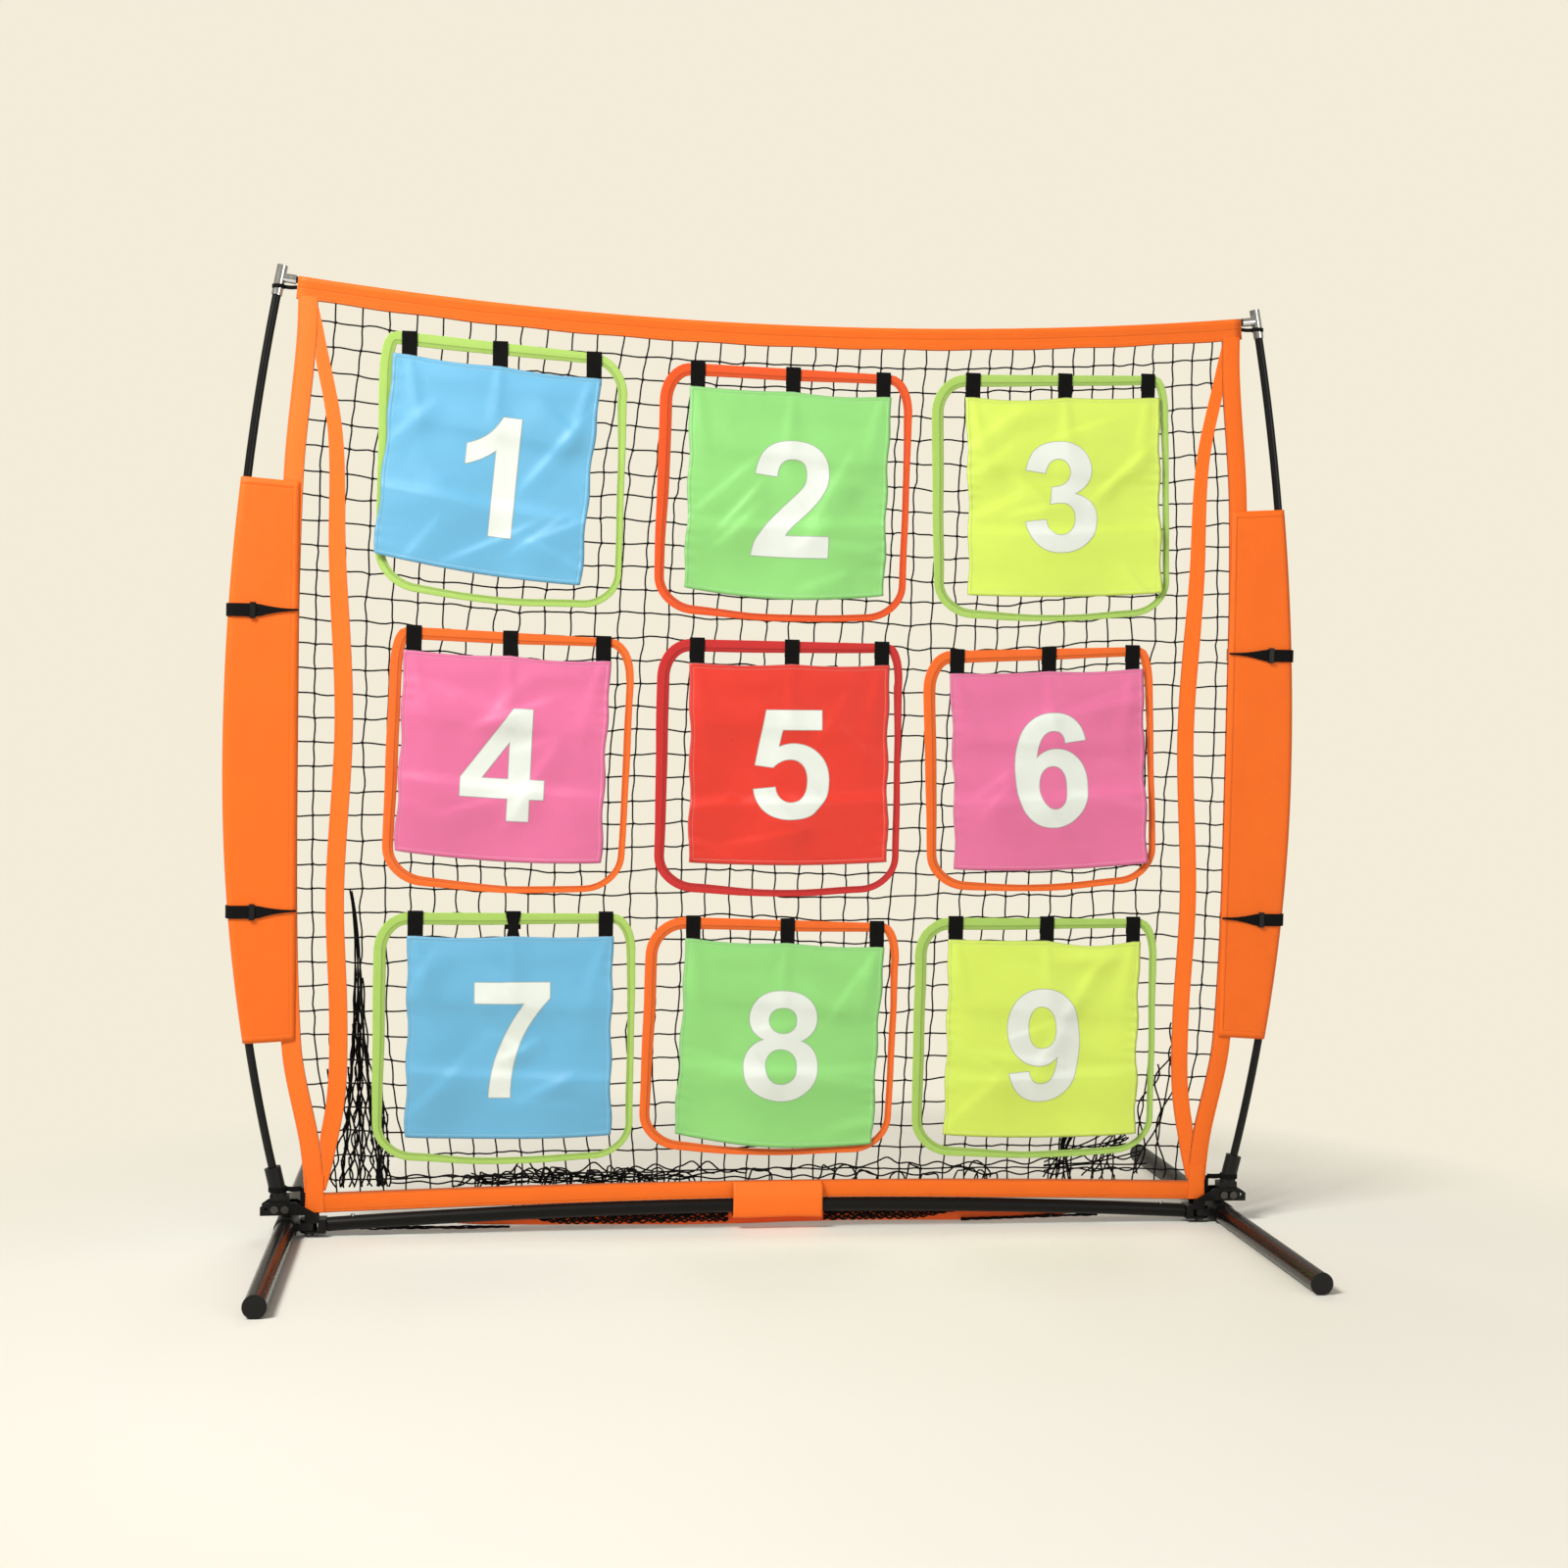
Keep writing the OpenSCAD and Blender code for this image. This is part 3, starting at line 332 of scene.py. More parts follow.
def cloth_sheet(shape, grid, thick, u, v):
    """A sheet of cloth over a grid of points, closed round its edges. u and v
    are each column's and row's place on the flat cut."""
    normal = np.cross(np.gradient(grid, axis=1), np.gradient(grid, axis=0))
    normal = unit(normal) * thick / 2
    rows, cols = grid.shape[:2]
    face, row, col = grid_faces(rows, cols)
    uv = stack([np.asarray(u)[col], np.asarray(v)[row]], -1)
    half = rows * cols
    faces = [*face, *(face[:, ::-1] + half)]
    uvs = [*uv, *uv[:, ::-1]]
    index = np.arange(half).reshape(rows, cols)
    rim = np.concatenate([index[0, :-1], index[:-1, -1], index[-1, :0:-1], index[:0:-1, 0]])
    after = np.roll(rim, -1)
    flat = stack(np.meshgrid(u, v), -1).reshape(-1, 2)
    for a, b in zip(rim, after):
        faces.append((b, a, a + half, b + half))
        uvs.append(flat[[b, a, a, b]])
    points = [(grid + normal).reshape(-1, 3), (grid - normal).reshape(-1, 3)]
    return shape.add(np.concatenate(points), faces, uvs)


def tape_profile(inner, outer, front, back, soft=0.4):
    """A flat tape's section with softened corners."""
    mid = (front + back) / 2
    return [
        (inner + soft, front), (inner + 3 * soft, front), (outer - 3 * soft, front),
        (outer - soft, front), (outer, mid), (outer - soft, back),
        (outer - 3 * soft, back), (inner + 3 * soft, back), (inner + soft, back),
        (inner, mid),
    ]


# ---- Materials ----


def linear(code):
    """The linear colour of a six-digit sRGB code."""
    parts = [int(code[k : k + 2], 16) / 255 for k in (0, 2, 4)]
    return tuple(c / 12.92 if c <= 0.04045 else ((c + 0.055) / 1.055) ** 2.4 for c in parts) + (1,)


def scaled(colour, by):
    return tuple(min(1, c * by) for c in colour[:3]) + (1,)


class Look:
    """A material's node tree, built node by node."""

    def __init__(self, name, **constants):
        self.mat = bpy.data.materials.new(name)
        self.mat.use_nodes = True
        self.tree = self.mat.node_tree
        self.shader = next(n for n in self.tree.nodes if n.type == "BSDF_PRINCIPLED")
        for key, value in constants.items():
            self.shader.inputs[key.replace("_", " ")].default_value = value
        self.place = self.add("ShaderNodeTexCoord").outputs["Object"]

    def add(self, kind, inputs=None, **facts):
        made = self.tree.nodes.new(kind)
        for key, value in facts.items():
            setattr(made, key, value)
        for key, value in (inputs or {}).items():
            self.put(made.inputs[key], value)
        return made

    def put(self, socket, value):
        if isinstance(value, bpy.types.NodeSocket):
            self.tree.links.new(value, socket)
        else:
            socket.default_value = value

    def math(self, what, a, b=0.0):
        return self.add("ShaderNodeMath", {0: a, 1: b}, operation=what).outputs[0]

    def times(self, a, b):
        return self.math("MULTIPLY", a, b)

    def minus(self, a, b):
        return self.math("SUBTRACT", a, b)

    def apart(self, a, b):
        return self.math("ABSOLUTE", self.minus(a, b))

    def span(self, value, low, high, to_low=0.0, to_high=1.0):
        made = self.add(
            "ShaderNodeMapRange",
            {"Value": value, "From Min": low, "From Max": high, "To Min": to_low, "To Max": to_high},
        )
        return made.outputs["Result"]

    def noise(self, scale, detail=2.0, stretch=(1, 1, 1)):
        at = self.add("ShaderNodeMapping", {"Vector": self.place, "Scale": stretch})
        made = self.add(
            "ShaderNodeTexNoise",
            {"Vector": at.outputs[0], "Scale": scale, "Detail": detail, "Roughness": 0.55},
        )
        return made.outputs[0]

    def bands(self, direction, pitch):
        """A wave from 0 to 1 along one axis, with its pitch in metres."""
        made = self.add(
            "ShaderNodeTexWave",
            {"Vector": self.place, "Scale": 2 * math.pi / 20 / pitch},
            bands_direction=direction,
        )
        return made.outputs["Fac"]

    def mix(self, share, a, b):
        made = self.add("ShaderNodeMix", data_type="RGBA")
        self.put(made.inputs["Factor"], share)
        self.put(made.inputs[6], a)
        self.put(made.inputs[7], b)
        return made.outputs[2]

    @property
    def base(self):
        """The colour so far."""
        return self.shader.inputs["Base Color"].links[0].from_socket

    def colour(self, value):
        self.put(self.shader.inputs["Base Color"], value)
        return self

    def rough(self, value):
        self.put(self.shader.inputs["Roughness"], value)
        return self

    def bump(self, height, depth, strength=1.0):
        """Raises the surface by height, from 0 to 1, times depth metres."""
        before = self.shader.inputs["Normal"]
        facts = {"Height": height, "Distance": depth, "Strength": strength}
        if before.is_linked:
            facts["Normal"] = before.links[0].from_socket
        made = self.add("ShaderNodeBump", facts)
        self.tree.links.new(made.outputs[0], before)
        return self

    def under(self, share, over):
        """Shows another shader over this one by a share."""
        both = self.add(
            "ShaderNodeMixShader", {0: share, 1: self.shader.outputs[0], 2: over.outputs[0]}
        )
        out = next(n for n in self.tree.nodes if n.type == "OUTPUT_MATERIAL")
        self.tree.links.new(both.outputs[0], out.inputs["Surface"])
        return self

    def see_through(self, share, colour):
        """Lets light from behind through a thin cloth."""
        return self.under(share, self.add("ShaderNodeBsdfTranslucent", {"Color": colour}))

    def stitches(self, base, off, run, half, pitch, filled, share, thread, groove, deep):
        """Sews along a line: off is the distance from it and run the length along
        it. Filled is the share of the pitch that a stitch takes up."""
        dash = self.math("LESS_THAN", self.math("FRACT", self.times(run, 1 / pitch)), filled)
        mark = self.times(self.math("LESS_THAN", off, half), dash)
        self.bump(self.span(off, 0.0, groove), deep)
        return self.mix(self.times(mark, share), base, thread)


def map_parts(look):
    """The two places of the flat cut, in metres."""
    weave = look.add("ShaderNodeUVMap", uv_map="Weave").outputs[0]
    split = look.add("ShaderNodeSeparateXYZ", {0: weave})
    return split.outputs[0], split.outputs[1]


def fibre(name, rough, sheen, spread, gloss):
    """A cloth's or a tape's look before it has a colour."""
    return Look(
        name, Roughness=rough, Sheen_Weight=sheen, Sheen_Roughness=spread,
        Specular_IOR_Level=gloss,
    )


def woven(name, code, rough, crease, through=0.0, thread=0.00055, gloss=0.3):
    """Thin woven polyester with fine threads and soft creases."""
    tone = linear(code)
    look = fibre(name, rough, 0.1, 0.4, gloss)
    along, across = look.bands("X", thread), look.bands("Z", thread)
    weave = look.times(along, across)
    patch = look.noise(9, 3)
    base = look.mix(patch, scaled(tone, 0.9), scaled(tone, 1.06))
    look.colour(look.mix(look.times(weave, 0.16), base, scaled(tone, 0.72)))
    look.rough(look.span(look.noise(60, 2), 0.2, 0.8, rough - 0.07, rough + 0.08))
    look.bump(look.noise(16, 4, (1, 1, 0.6)), 0.0016 * crease)
    look.bump(weave, 0.00006)
    if through:
        look.see_through(through, scaled(tone, 1.0))
    return look


TAPE_EDGE = "5A4A40"


def taped(
    name, code, half, rough=0.55, edge=TAPE_EDGE, stitches=(), rib=0.0011, sheen=0.1, gloss=0.3
):
    """Woven webbing with ribs across, edges a shade darker and rows of stitches."""
    tone = linear(code)
    look = fibre(name, rough, sheen, 0.35, gloss)
    u, v = map_parts(look)
    ribs = look.math("SINE", look.times(v, 2 * math.pi / rib))
    cords = look.math("SINE", look.times(u, 2 * math.pi / 0.0016))
    base = look.mix(look.noise(14, 3), scaled(tone, 0.9), scaled(tone, 1.05))
    rim = look.span(look.math("ABSOLUTE", u), (half - 1.1) * MM, (half - 0.3) * MM)
    base = look.mix(look.times(rim, 0.55), base, linear(edge))
    height = look.times(ribs, look.math("ADD", cords, 1.6))
    for row in stitches:
        away = look.apart(u, row * MM)
        thread = scaled(tone, 0.6)
        base = look.stitches(
            base, away, v, 0.0005, 0.0036, 0.72, 0.55, thread, 0.0016, 0.0003
        )
    look.colour(base)
    look.rough(look.span(look.noise(90, 2), 0.2, 0.8, rough - 0.06, rough + 0.1))
    look.bump(look.span(height, -2.6, 2.6), 0.00018)
    return look


def corded(name):
    """Black braided net cord."""
    look = Look(name, Roughness=0.8, Specular_IOR_Level=0.12)
    plait = look.bands("DIAGONAL", 0.0022)
    fuzz = look.noise(700, 2)
    look.colour(look.mix(fuzz, linear("060505"), linear("141110")))
    look.bump(look.math("ADD", plait, fuzz), 0.0002)
    return look


def painted(name, code, rough, coat=0.3):
    """Glossy painted steel with faint orange peel, dust and rubbed patches."""
    look = Look(
        name, Roughness=rough, Coat_Weight=coat, Coat_Roughness=0.12, Specular_IOR_Level=0.2
    )
    tone = linear(code)
    wear = look.noise(35, 4)
    look.colour(look.mix(look.span(wear, 0.45, 0.75), tone, scaled(tone, 1.35)))
    look.rough(look.span(look.noise(60, 3), 0.25, 0.8, rough - 0.03, rough + 0.06))
    look.bump(look.noise(420, 2), 0.00001)
    return look


def moulded(name, code, rough):
    """Moulded plastic with a fine pebbled skin."""
    look = Look(name, Roughness=rough, Specular_IOR_Level=0.3)
    tone = linear(code)
    look.colour(look.mix(look.noise(50, 3), scaled(tone, 0.85), scaled(tone, 1.35)))
    look.rough(look.span(look.noise(200, 2), 0.2, 0.8, rough - 0.08, rough + 0.1))
    look.bump(look.noise(1500, 2), 0.00005)
    return look


def metal(name, code, rough, brushed=(1, 1, 1)):
    """Bare or plated metal with fine marks."""
    look = Look(name, Roughness=rough, Metallic=1.0)
    tone = linear(code)
    marks = look.noise(260, 3, brushed)
    look.colour(look.mix(marks, scaled(tone, 0.88), scaled(tone, 1.05)))
    look.rough(look.span(marks, 0.2, 0.8, max(rough - 0.05, 0.03), rough + 0.1))
    look.bump(marks, 0.00002)
    return look


ORANGE = "FE7118"
net_cord = corded("net_cord").mat
trim = taped("orange_trim", ORANGE, EDGE_W / 2, stitches=(-12, 12.5)).mat
mouth_tape = taped("orange_mouth_trim", ORANGE, MOUTH_W / 2, stitches=(-11.5, 11.5)).mat
hem_tape = taped("orange_hem_trim", ORANGE, HEM_H / 2, stitches=(-11.5, 11)).mat
wrap_cloth = woven("wrap_cloth", ORANGE, rough=0.5, crease=0.6).mat
# The low band's own red orange, made brighter overall to make up for the crossbar's shadow on it: partly painted fill
# light.
band_cloth = woven("band_cloth", "FF6420", rough=0.55, crease=0.8, through=0.1).mat
black_tape = (
    taped("black_tape", "0C0B0B", TAB_W / 2, rough=0.85, edge="050505", rib=0.0013, sheen=0, gloss=0.12).mat
)
strap_tape = (
    taped("black_strap_tape", "0D0C0C", STRAP_W / 2, rough=0.8, edge="050505", sheen=0, gloss=0.12).mat
)


def target_cloth(name, code):
    """A flap's satin cloth, with its turned hem, the seam round it and soft bands of painted shade."""
    look = woven(name, code, rough=0.34, thread=0.0005, crease=0.8, gloss=0.5)
    tone = linear(code)
    u, v = map_parts(look)
    side = look.minus(FLAP_W / 2 * MM, look.math("ABSOLUTE", u))
    end = look.minus(FLAP_H / 2 * MM, look.apart(v, FLAP_H / 2 * MM))
    rim = look.math("MINIMUM", side, end)
    base = look.base
    # Painted shade: soft stretched bands darken the cloth as the shade of broad folds would.
    bands = look.span(look.noise(6, 3, (0.5, 1, 1.7)), 0.36, 0.64)
    base = look.mix(look.times(bands, 0.4), base, scaled(tone, 0.82))
    overlock = look.span(rim, 0.0008, 0.0022, 0.6, 0.0)
    base = look.mix(overlock, base, linear("8C8F8E"))
    hem = look.span(rim, 0.0062, 0.0072, 0.3, 0.0)
    base = look.mix(hem, base, scaled(tone, 0.82))
    off, run = look.apart(rim, 0.0065), look.math("ADD", u, v)
    look.colour(look.stitches(
        base, off, run, 0.0007, 0.004, 0.68, 0.2, linear("E6EAE4"), 0.002, 0.0004
    ))
    look.bump(look.span(rim, 0.0066, 0.0078), -0.0003)
    return look.see_through(0.2, tone).mat


def ink(name, code, rough):
    """Print on cloth: it takes the weave under it."""
    look = Look(name, Roughness=rough)
    tone = linear(code)
    weave = look.times(look.bands("X", 0.0005), look.bands("Z", 0.0005))
    look.colour(look.mix(look.noise(40, 3), scaled(tone, 0.95), scaled(tone, 1.03)))
    look.rough(look.span(look.noise(150, 2), 0.2, 0.8, rough - 0.06, rough + 0.08))
    look.bump(weave, 0.00004)
    return look.mat


def loop_look(name, code):
    """A loop's satin tape, with painted shade on a strip along its turned inner edge and a darker painted crease
    line.
    """
    look = taped(name, code, LOOP_W / 2, rough=0.42, edge=code, sheen=0.05)
    base = look.base
    u, _ = map_parts(look)
    # Painted shade: the inner strip is darkened, and a thin line along the fold more so, as the fold's shade.
    inner = look.span(u, -0.0042, -0.0026, 1.0, 0.0)
    line = look.span(look.math("ABSOLUTE", look.math("ADD", u, 0.0034)), 0.0004, 0.0013, 1.0, 0.0)
    base = look.mix(look.times(inner, 0.75), base, scaled(linear(code), 0.74))
    look.colour(look.mix(look.times(line, 0.6), base, scaled(linear(code), 0.38)))
    return look.mat


FLAP_CODES = {
    "blue": "76C3E8", "green": "9EE685", "neon": "E6FB69", "pink": "F27BAB", "red": "F13C2A",
}
LOOP_CODES = {"lime": "A7C962", "vermilion": "E4541E", "orange": "EE6A22", "red": "C42B29"}
flap_looks = {
    word: target_cloth(f"flap_cloth_{word}", code) for word, code in FLAP_CODES.items()
}
loop_looks = {word: loop_look(f"loop_tape_{word}", code) for word, code in LOOP_CODES.items()}
# The colours of targets 1 to 9
FLAP_TONES = "blue green neon pink red pink blue green neon".split()
LOOP_TONES = "lime vermilion lime orange red orange lime orange lime".split()
white_ink = ink("white_ink", "DCE1D8", 0.5)
grey_ink = ink("grey_ink", "A9ADA6", 0.6)

# ---- The knotted face net ----

NET_COLUMNS, NET_ROWS = 40, 37
# Steps of a cord between two knots
NET_FINE = 4


def drift(a, b, seed):
    """A smooth wandering of two places, from about -1 to 1."""
    return (
        sin(1.7 * a + 1.1 * seed)
        + sin(2.3 * b + 2.7 * seed)
        + sin(0.9 * a - 1.4 * b + 3.1 * seed)
        + sin(3.1 * a + 1.9 * b + 0.7 * seed)
    ) / 4


def strand(line, sag):
    """A cord through its knots, slack between them by sag millimetres."""
    pieces = [line[:1]]
    for a, b in zip(line[:-1], line[1:]):
        t = linspace(0, 1, NET_FINE + 1)[1:, None]
        step = b - a
        side = np.array([-step[2], 0, step[0]]) / max(np.linalg.norm(step), 1)
        bow = rng.normal(0, sag) * sin(pi * t) + rng.normal(0, 0.5) * sin(2 * pi * t)
        pieces.append(a + step * t + side * bow)
    return np.concatenate(pieces)


def face_net():
    i, j = np.meshgrid(np.arange(NET_COLUMNS + 1), np.arange(NET_ROWS + 1), indexing="ij")
    u, v = 2 * i / NET_COLUMNS - 1, j / NET_ROWS
    # The net hangs wider at the upper left, and wanders between its edges
    u = u + 0.07 * (1 - u**2) * clip((v - 0.5) / 0.5, 0, 1)
    ties = net_point(u, v)
    hold = np.minimum(1, 6 * np.minimum(1 - np.abs(u), np.minimum(v, 1 - v)))
    ties[..., 0] += hold * (11 * drift(3 * u, 4 * v, 1) + rng.normal(0, 1.5, u.shape))
    ties[..., 2] += hold * (10 * drift(4 * u, 3 * v, 2) + rng.normal(0, 1.5, u.shape))
    ties[..., 2] -= 12 * hold * clip(0.35 - v, 0, 1) * np.abs(sin(4.5 * pi * u))
    # Its foot is slack: the cells above the webbing are pulled about
    foot = hold * exp(-(((v - 0.05) / 0.06) ** 2))
    ties[..., 0] += 9 * foot * drift(23 * u, 9 * v, 4)
    ties[..., 2] += 6 * foot * drift(19 * u, 7 * v, 6)
    lines = [strand(ties[k], 1.0) for k in range(1, NET_COLUMNS)]
    lines += [strand(ties[:, k], 1.1) for k in range(1, NET_ROWS)]
    net = tubes(Shape(), lines, 2.7, 2.05)
    knots(net, ties[1:-1, 1:-1].reshape(-1, 3), 3.0, 2.4, 1.08)
    piece = net.piece("face_net_cords", "frame", net_cord)
    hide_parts("face_net")


face_net()

# ---- The slack net, gathered in a pocket behind the foot of the face net ----


def gathered(line, wide, count, cell, pinch, seed):
    """Cords of a net gathered along a line: they meet and part in long narrow
    cells, drawn into bunches where pinch is near 1. Their ties are given too."""
    run = run_along(line)
    way = unit(np.gradient(line, axis=0))
    side = unit(np.cross(way, (0, 1, 0)))
    step = 2 / count
    cords, ties = [], []
    for k in range(count):
        beat = run / cell + k + 0.7 * drift(run / 140, 0.3 * k, seed)
        t = -1 + step * (k + 0.5 + 0.75 * cos(pi * beat)) + 0.16 * drift(
            run / 50, 0.9 * k, seed + k
        )
        t = t - pinch * sin(3 * pi * t) / (3 * pi)
        deep = 7 + 6 * drift(run / 60, k, seed + 2) + 3 * sin(2.4 * k)
        cord = line + side * (wide * t)[:, None]
        cord[:, 1] += deep
        cords.append(cord)
        ties.append(cord[np.flatnonzero(np.diff(np.floor(beat)) > 0)[k % 2 :: 2]])
    return cords, ties


def run_of(places, gap=5.0):
    """Evenly spaced points and widths through (x, y, z, width) places."""
    places = np.array(places, float)
    passed = run_along(places[:, :3])
    at = linspace(0, passed[-1], int(passed[-1] / gap))
    full = stack([follow(stack([passed, places[:, k]], -1), at) for k in range(4)], -1)
    return full[:, :3], full[:, 3]


# Bunches of the spare net: places (x, y, z, half width), cords, cell, pinch
BUNCHES = [
    (
        [(-665, 4, 575, 0.6), (-652, 8, 488, 3), (-647, 12, 396, 7), (-645, 14, 304, 12),
         (-644, 18, 266, 17), (-642, 20, 171, 27), (-640, 20, 70, 44)],
        18, 29, 0.6,
    ),
    ([(-690, 6, 470, 0.8), (-689, 10, 393, 3), (-688, 12, 289, 4), (-687, 16, 190, 4), (-684, 18, 110, 3)], 3, 40, 0),
    ([(-616, 8, 300, 1), (-613, 14, 230, 3), (-606, 18, 166, 7), (-605, 18, 70, 11)], 6, 24, 0.3),
    ([(497, 10, 152, 14), (491, 15, 127, 10), (489, 17, 106, 8), (483, 17, 66, 26)], 9, 60, 0),
    ([(590, 10, 142, 14), (560, 16, 112, 12), (548, 18, 66, 26)], 6, 30, 0),
    ([(672, 8, 340, 10), (650, 14, 220, 22), (628, 18, 72, 30)], 3, 60, 0),
]


def slack_net():
    """Spare net: gathered down the left side and heaped along the foot."""
    cords, ties = [], []
    for seed, (places, count, cell, pinch) in enumerate(BUNCHES):
        line, wide = run_of(places)
        found, tied = gathered(line, wide, count, cell, pinch, seed + 1)
        cords += [cord[cord[:, 2] < 260 + 70 * (k % 5)] for k, cord in enumerate(found)]
        ties += [tie[tie[:, 2] < 260] for tie in tied]
    # Heaped behind the bottom tape, mostly to the left of the middle
    heap_line = [
        (-640, 14, 84, 12), (-430, 20, 79, 10), (-240, 20, 79, 9), (0, 16, 86, 14),
        (420, 16, 90, 18), (640, 16, 94, 20)
    ]
    line, wide = run_of(heap_line)
    found, tied = gathered(line, wide, 8, 28, 0.1, 3)
    for k, cord in enumerate(found):
        low, high = (-600, 620) if k % 4 == 1 else (-500 + 9 * k, -230 + 50 * (k % 5))
        heap = cord[(cord[:, 0] > low) & (cord[:, 0] < high)]
        for peak in rng.uniform(low, high, 4):
            heap[:, 2] += rng.uniform(4, 16) * exp(-(((heap[:, 0] - peak) / 14) ** 2))
        cords.append(heap)
    # Loose loops that stand up from the heap
    for x0 in [*rng.uniform(-480, -190, 22), *rng.uniform(-190, 430, 14)]:
        reach, rise = rng.uniform(9, 22), rng.uniform(8, 32)
        a = linspace(0, pi, 12)
        x = x0 - reach * cos(a) + 3 * sin(3 * a)
        z = 69 + rise * sin(a) + 2.5 * sin(4 * a + x0)
        cords.append(stack([x, 8 + 22 * rng.uniform() + 5 * sin(a + x0), z], -1))
    # Cords pulled out from the right bunch to the leg
    for k in range(5):
        v = linspace(0, 1, 14)
        z = 84 + 5 * k + (10 + 9 * k) * v + 4 * sin(5 * v + 2 * k)
        cords.append(stack([455 + (180 - 14 * k) * v, 12 + 16 * v + 2 * sin(3 * v + k), z], -1))
    net = tubes(Shape(), [*cords, *under_cords()], 2.8, 2.0, sides=4)
    knots(net, np.concatenate(ties), 2.4, 2.0, 1.6)
    piece = net.piece("slack_net_cords", "frame", net_cord)
    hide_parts("catch_net")


def under_cords():
    """The net's lowest cells, caught between the crossbar and the low band."""
    lines = []
    for low, high in ((-412, -60), (92, 337)):
        x = np.arange(low, high, 2.5)
        share = clip((x - low) / 90 if low < 0 else (high - x) / 90, 0.1, 1)
        for k in range(6):
            beat = x / 7 + k + 1.4 * drift(x / 40, k, k)
            z = 26 - share * (2.7 * (k + 0.5 + 0.6 * cos(pi * beat)) + 1.2 * drift(x / 25, k, 5))
            lines.append(stack([x, 9.9 + 0.9 * sin(beat + k), z], -1))
    for low, high, start, end in ((-640, -405, 9, 7), (318, 548, 7, 12)):
        x = np.arange(low, high, 4.0)
        for k in range(3):
            z = linspace(start, end, len(x)) + 1.6 * sin(x / 9 + 2.1 * k) + 1.4 * drift(
                x / 30, k, k
            )
            lines.append(stack([x, 9.6 + 0.9 * cos(x / 9 + 2.1 * k), z], -1))
    for x in np.r_[np.arange(-405, -70, 21.0), np.arange(100, 335, 21.0)]:
        z = linspace(22, 70, 9)
        lines.append(stack([x + 3 * sin(z / 8 + x), 12.2 + 0.05 * (z - 22), z], -1))
    return lines


slack_net()

# ---- Webbing round the net ----


def side_line(stations, low, high, side, steps=96):
    """Points up a side of the net and the unit vector away from its middle."""
    z = linspace(low, high, steps)
    x = side_x(stations, z)
    slope = np.gradient(x, z)
    out = unit(stack([np.ones_like(z), 0 * z, -slope], -1))
    line = stack([x, 0 * z, z], -1)
    flip = np.array([side, 1, 1])
    return line * flip, out * flip, z


EDGE_LOW = float(hem_low(HEM_HALF)) + HEM_H + 3
EDGE_HIGH = float(rod_height(TOP_HALF)) - TOP_DROP - 4
FRONT = np.array([0, -1, 0])


def folded_profile(half):
    """The section of a tape folded over the net's edge at its outer side."""
    near, far = NET_Y + GAP, EDGE_Y
    return [
        (-half, -near), (0.4 - half, -far), (half - 2, -far), (half - 0.5, -far * 0.8),
        (half, 0), (half - 0.5, far * 0.8), (half - 2, far), (0.4 - half, far), (-half, near),
        (half - CLOTH - 1, near), (half - CLOTH, 0), (half - CLOTH - 1, -near),
    ]


def edge_tape(side, word):
    """A side's tape, with its foot laid over the end of the bottom tape."""
    line, out, _ = side_line(EDGE, EDGE_LOW, EDGE_HIGH + 8, side)
    tape = sweep(Shape(), line, out, -FRONT, folded_profile(EDGE_W / 2))
    z = linspace(float(hem_low(HEM_HALF - 14)) - 1, EDGE_LOW + 26, 16)
    line = stack([np.full(16, side * (LEG_X + float(follow(EDGE, 0)))), 0 * z, z], -1)
    half = EDGE_W / 2 - 1.5 * clip((z - z[0]) / 40, 0, 1)
    sections = [tape_profile(-h, h, -EDGE_Y - 1.3, -EDGE_Y - 0.15, 0.3) for h in half]
    sweep(tape, line, (side, 0, 0), -FRONT, sections)
    piece = tape.piece(f"{word}_edge_tape", "frame", trim, crisp=38)
    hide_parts(f"{word}_edge_webbing")


for side, word in SIDES:
    edge_tape(side, word)


def mouth_tapes():
    """The curved inner tapes. They are folded narrower towards the top, where
    they run out beside the edge tapes."""
    shape = Shape()
    top = EDGE_HIGH - 10
    bends = [*MOUTH, ((top - SIDE_LOW) / (SIDE_HIGH - SIDE_LOW), -25.4)]
    for side in (-1, 1):
        line, out, z = side_line(bends, EDGE_LOW + 5, top, side)
        half = MOUTH_W / 2 - 3.6 * clip((z - 950) / 350, 0, 1)
        room = side_x(EDGE, z) - EDGE_W / 2 - GAP - side_x(bends, z)
        outer = clip(np.minimum(half, room), 0.8 - half, None)
        sections = [
            tape_profile(-h, o, -EDGE_Y, -NET_Y - GAP, min(0.4, (h + o) / 8)) for h, o in zip(
                half, outer
            )
        ]
        sweep(shape, line, out, -FRONT, sections)
    piece = shape.piece("mouth_tapes", "frame", mouth_tape, crisp=38)
    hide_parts("mouth_webbing")


mouth_tapes()


def bottom_tape():
    x = linspace(-HEM_HALF, HEM_HALF, 120)
    top = hem_low(x) + HEM_H
    low = np.maximum(bar_height(x) + BAR_D / 2 + 0.4, top - HEM_H - 3)
    line = stack([x, 0 * x, (low + top) / 2], -1)
    slope = np.gradient(line[:, 2], x)
    down = unit(stack([slope, 0 * x, -np.ones_like(x)], -1))
    sections = [folded_profile(h) for h in (top - low) / 2]
    tape = sweep(Shape(), line, down, -FRONT, sections)
    piece = tape.piece("bottom_tape", "frame", hem_tape, crisp=38)
    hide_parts("bottom_webbing")


bottom_tape()


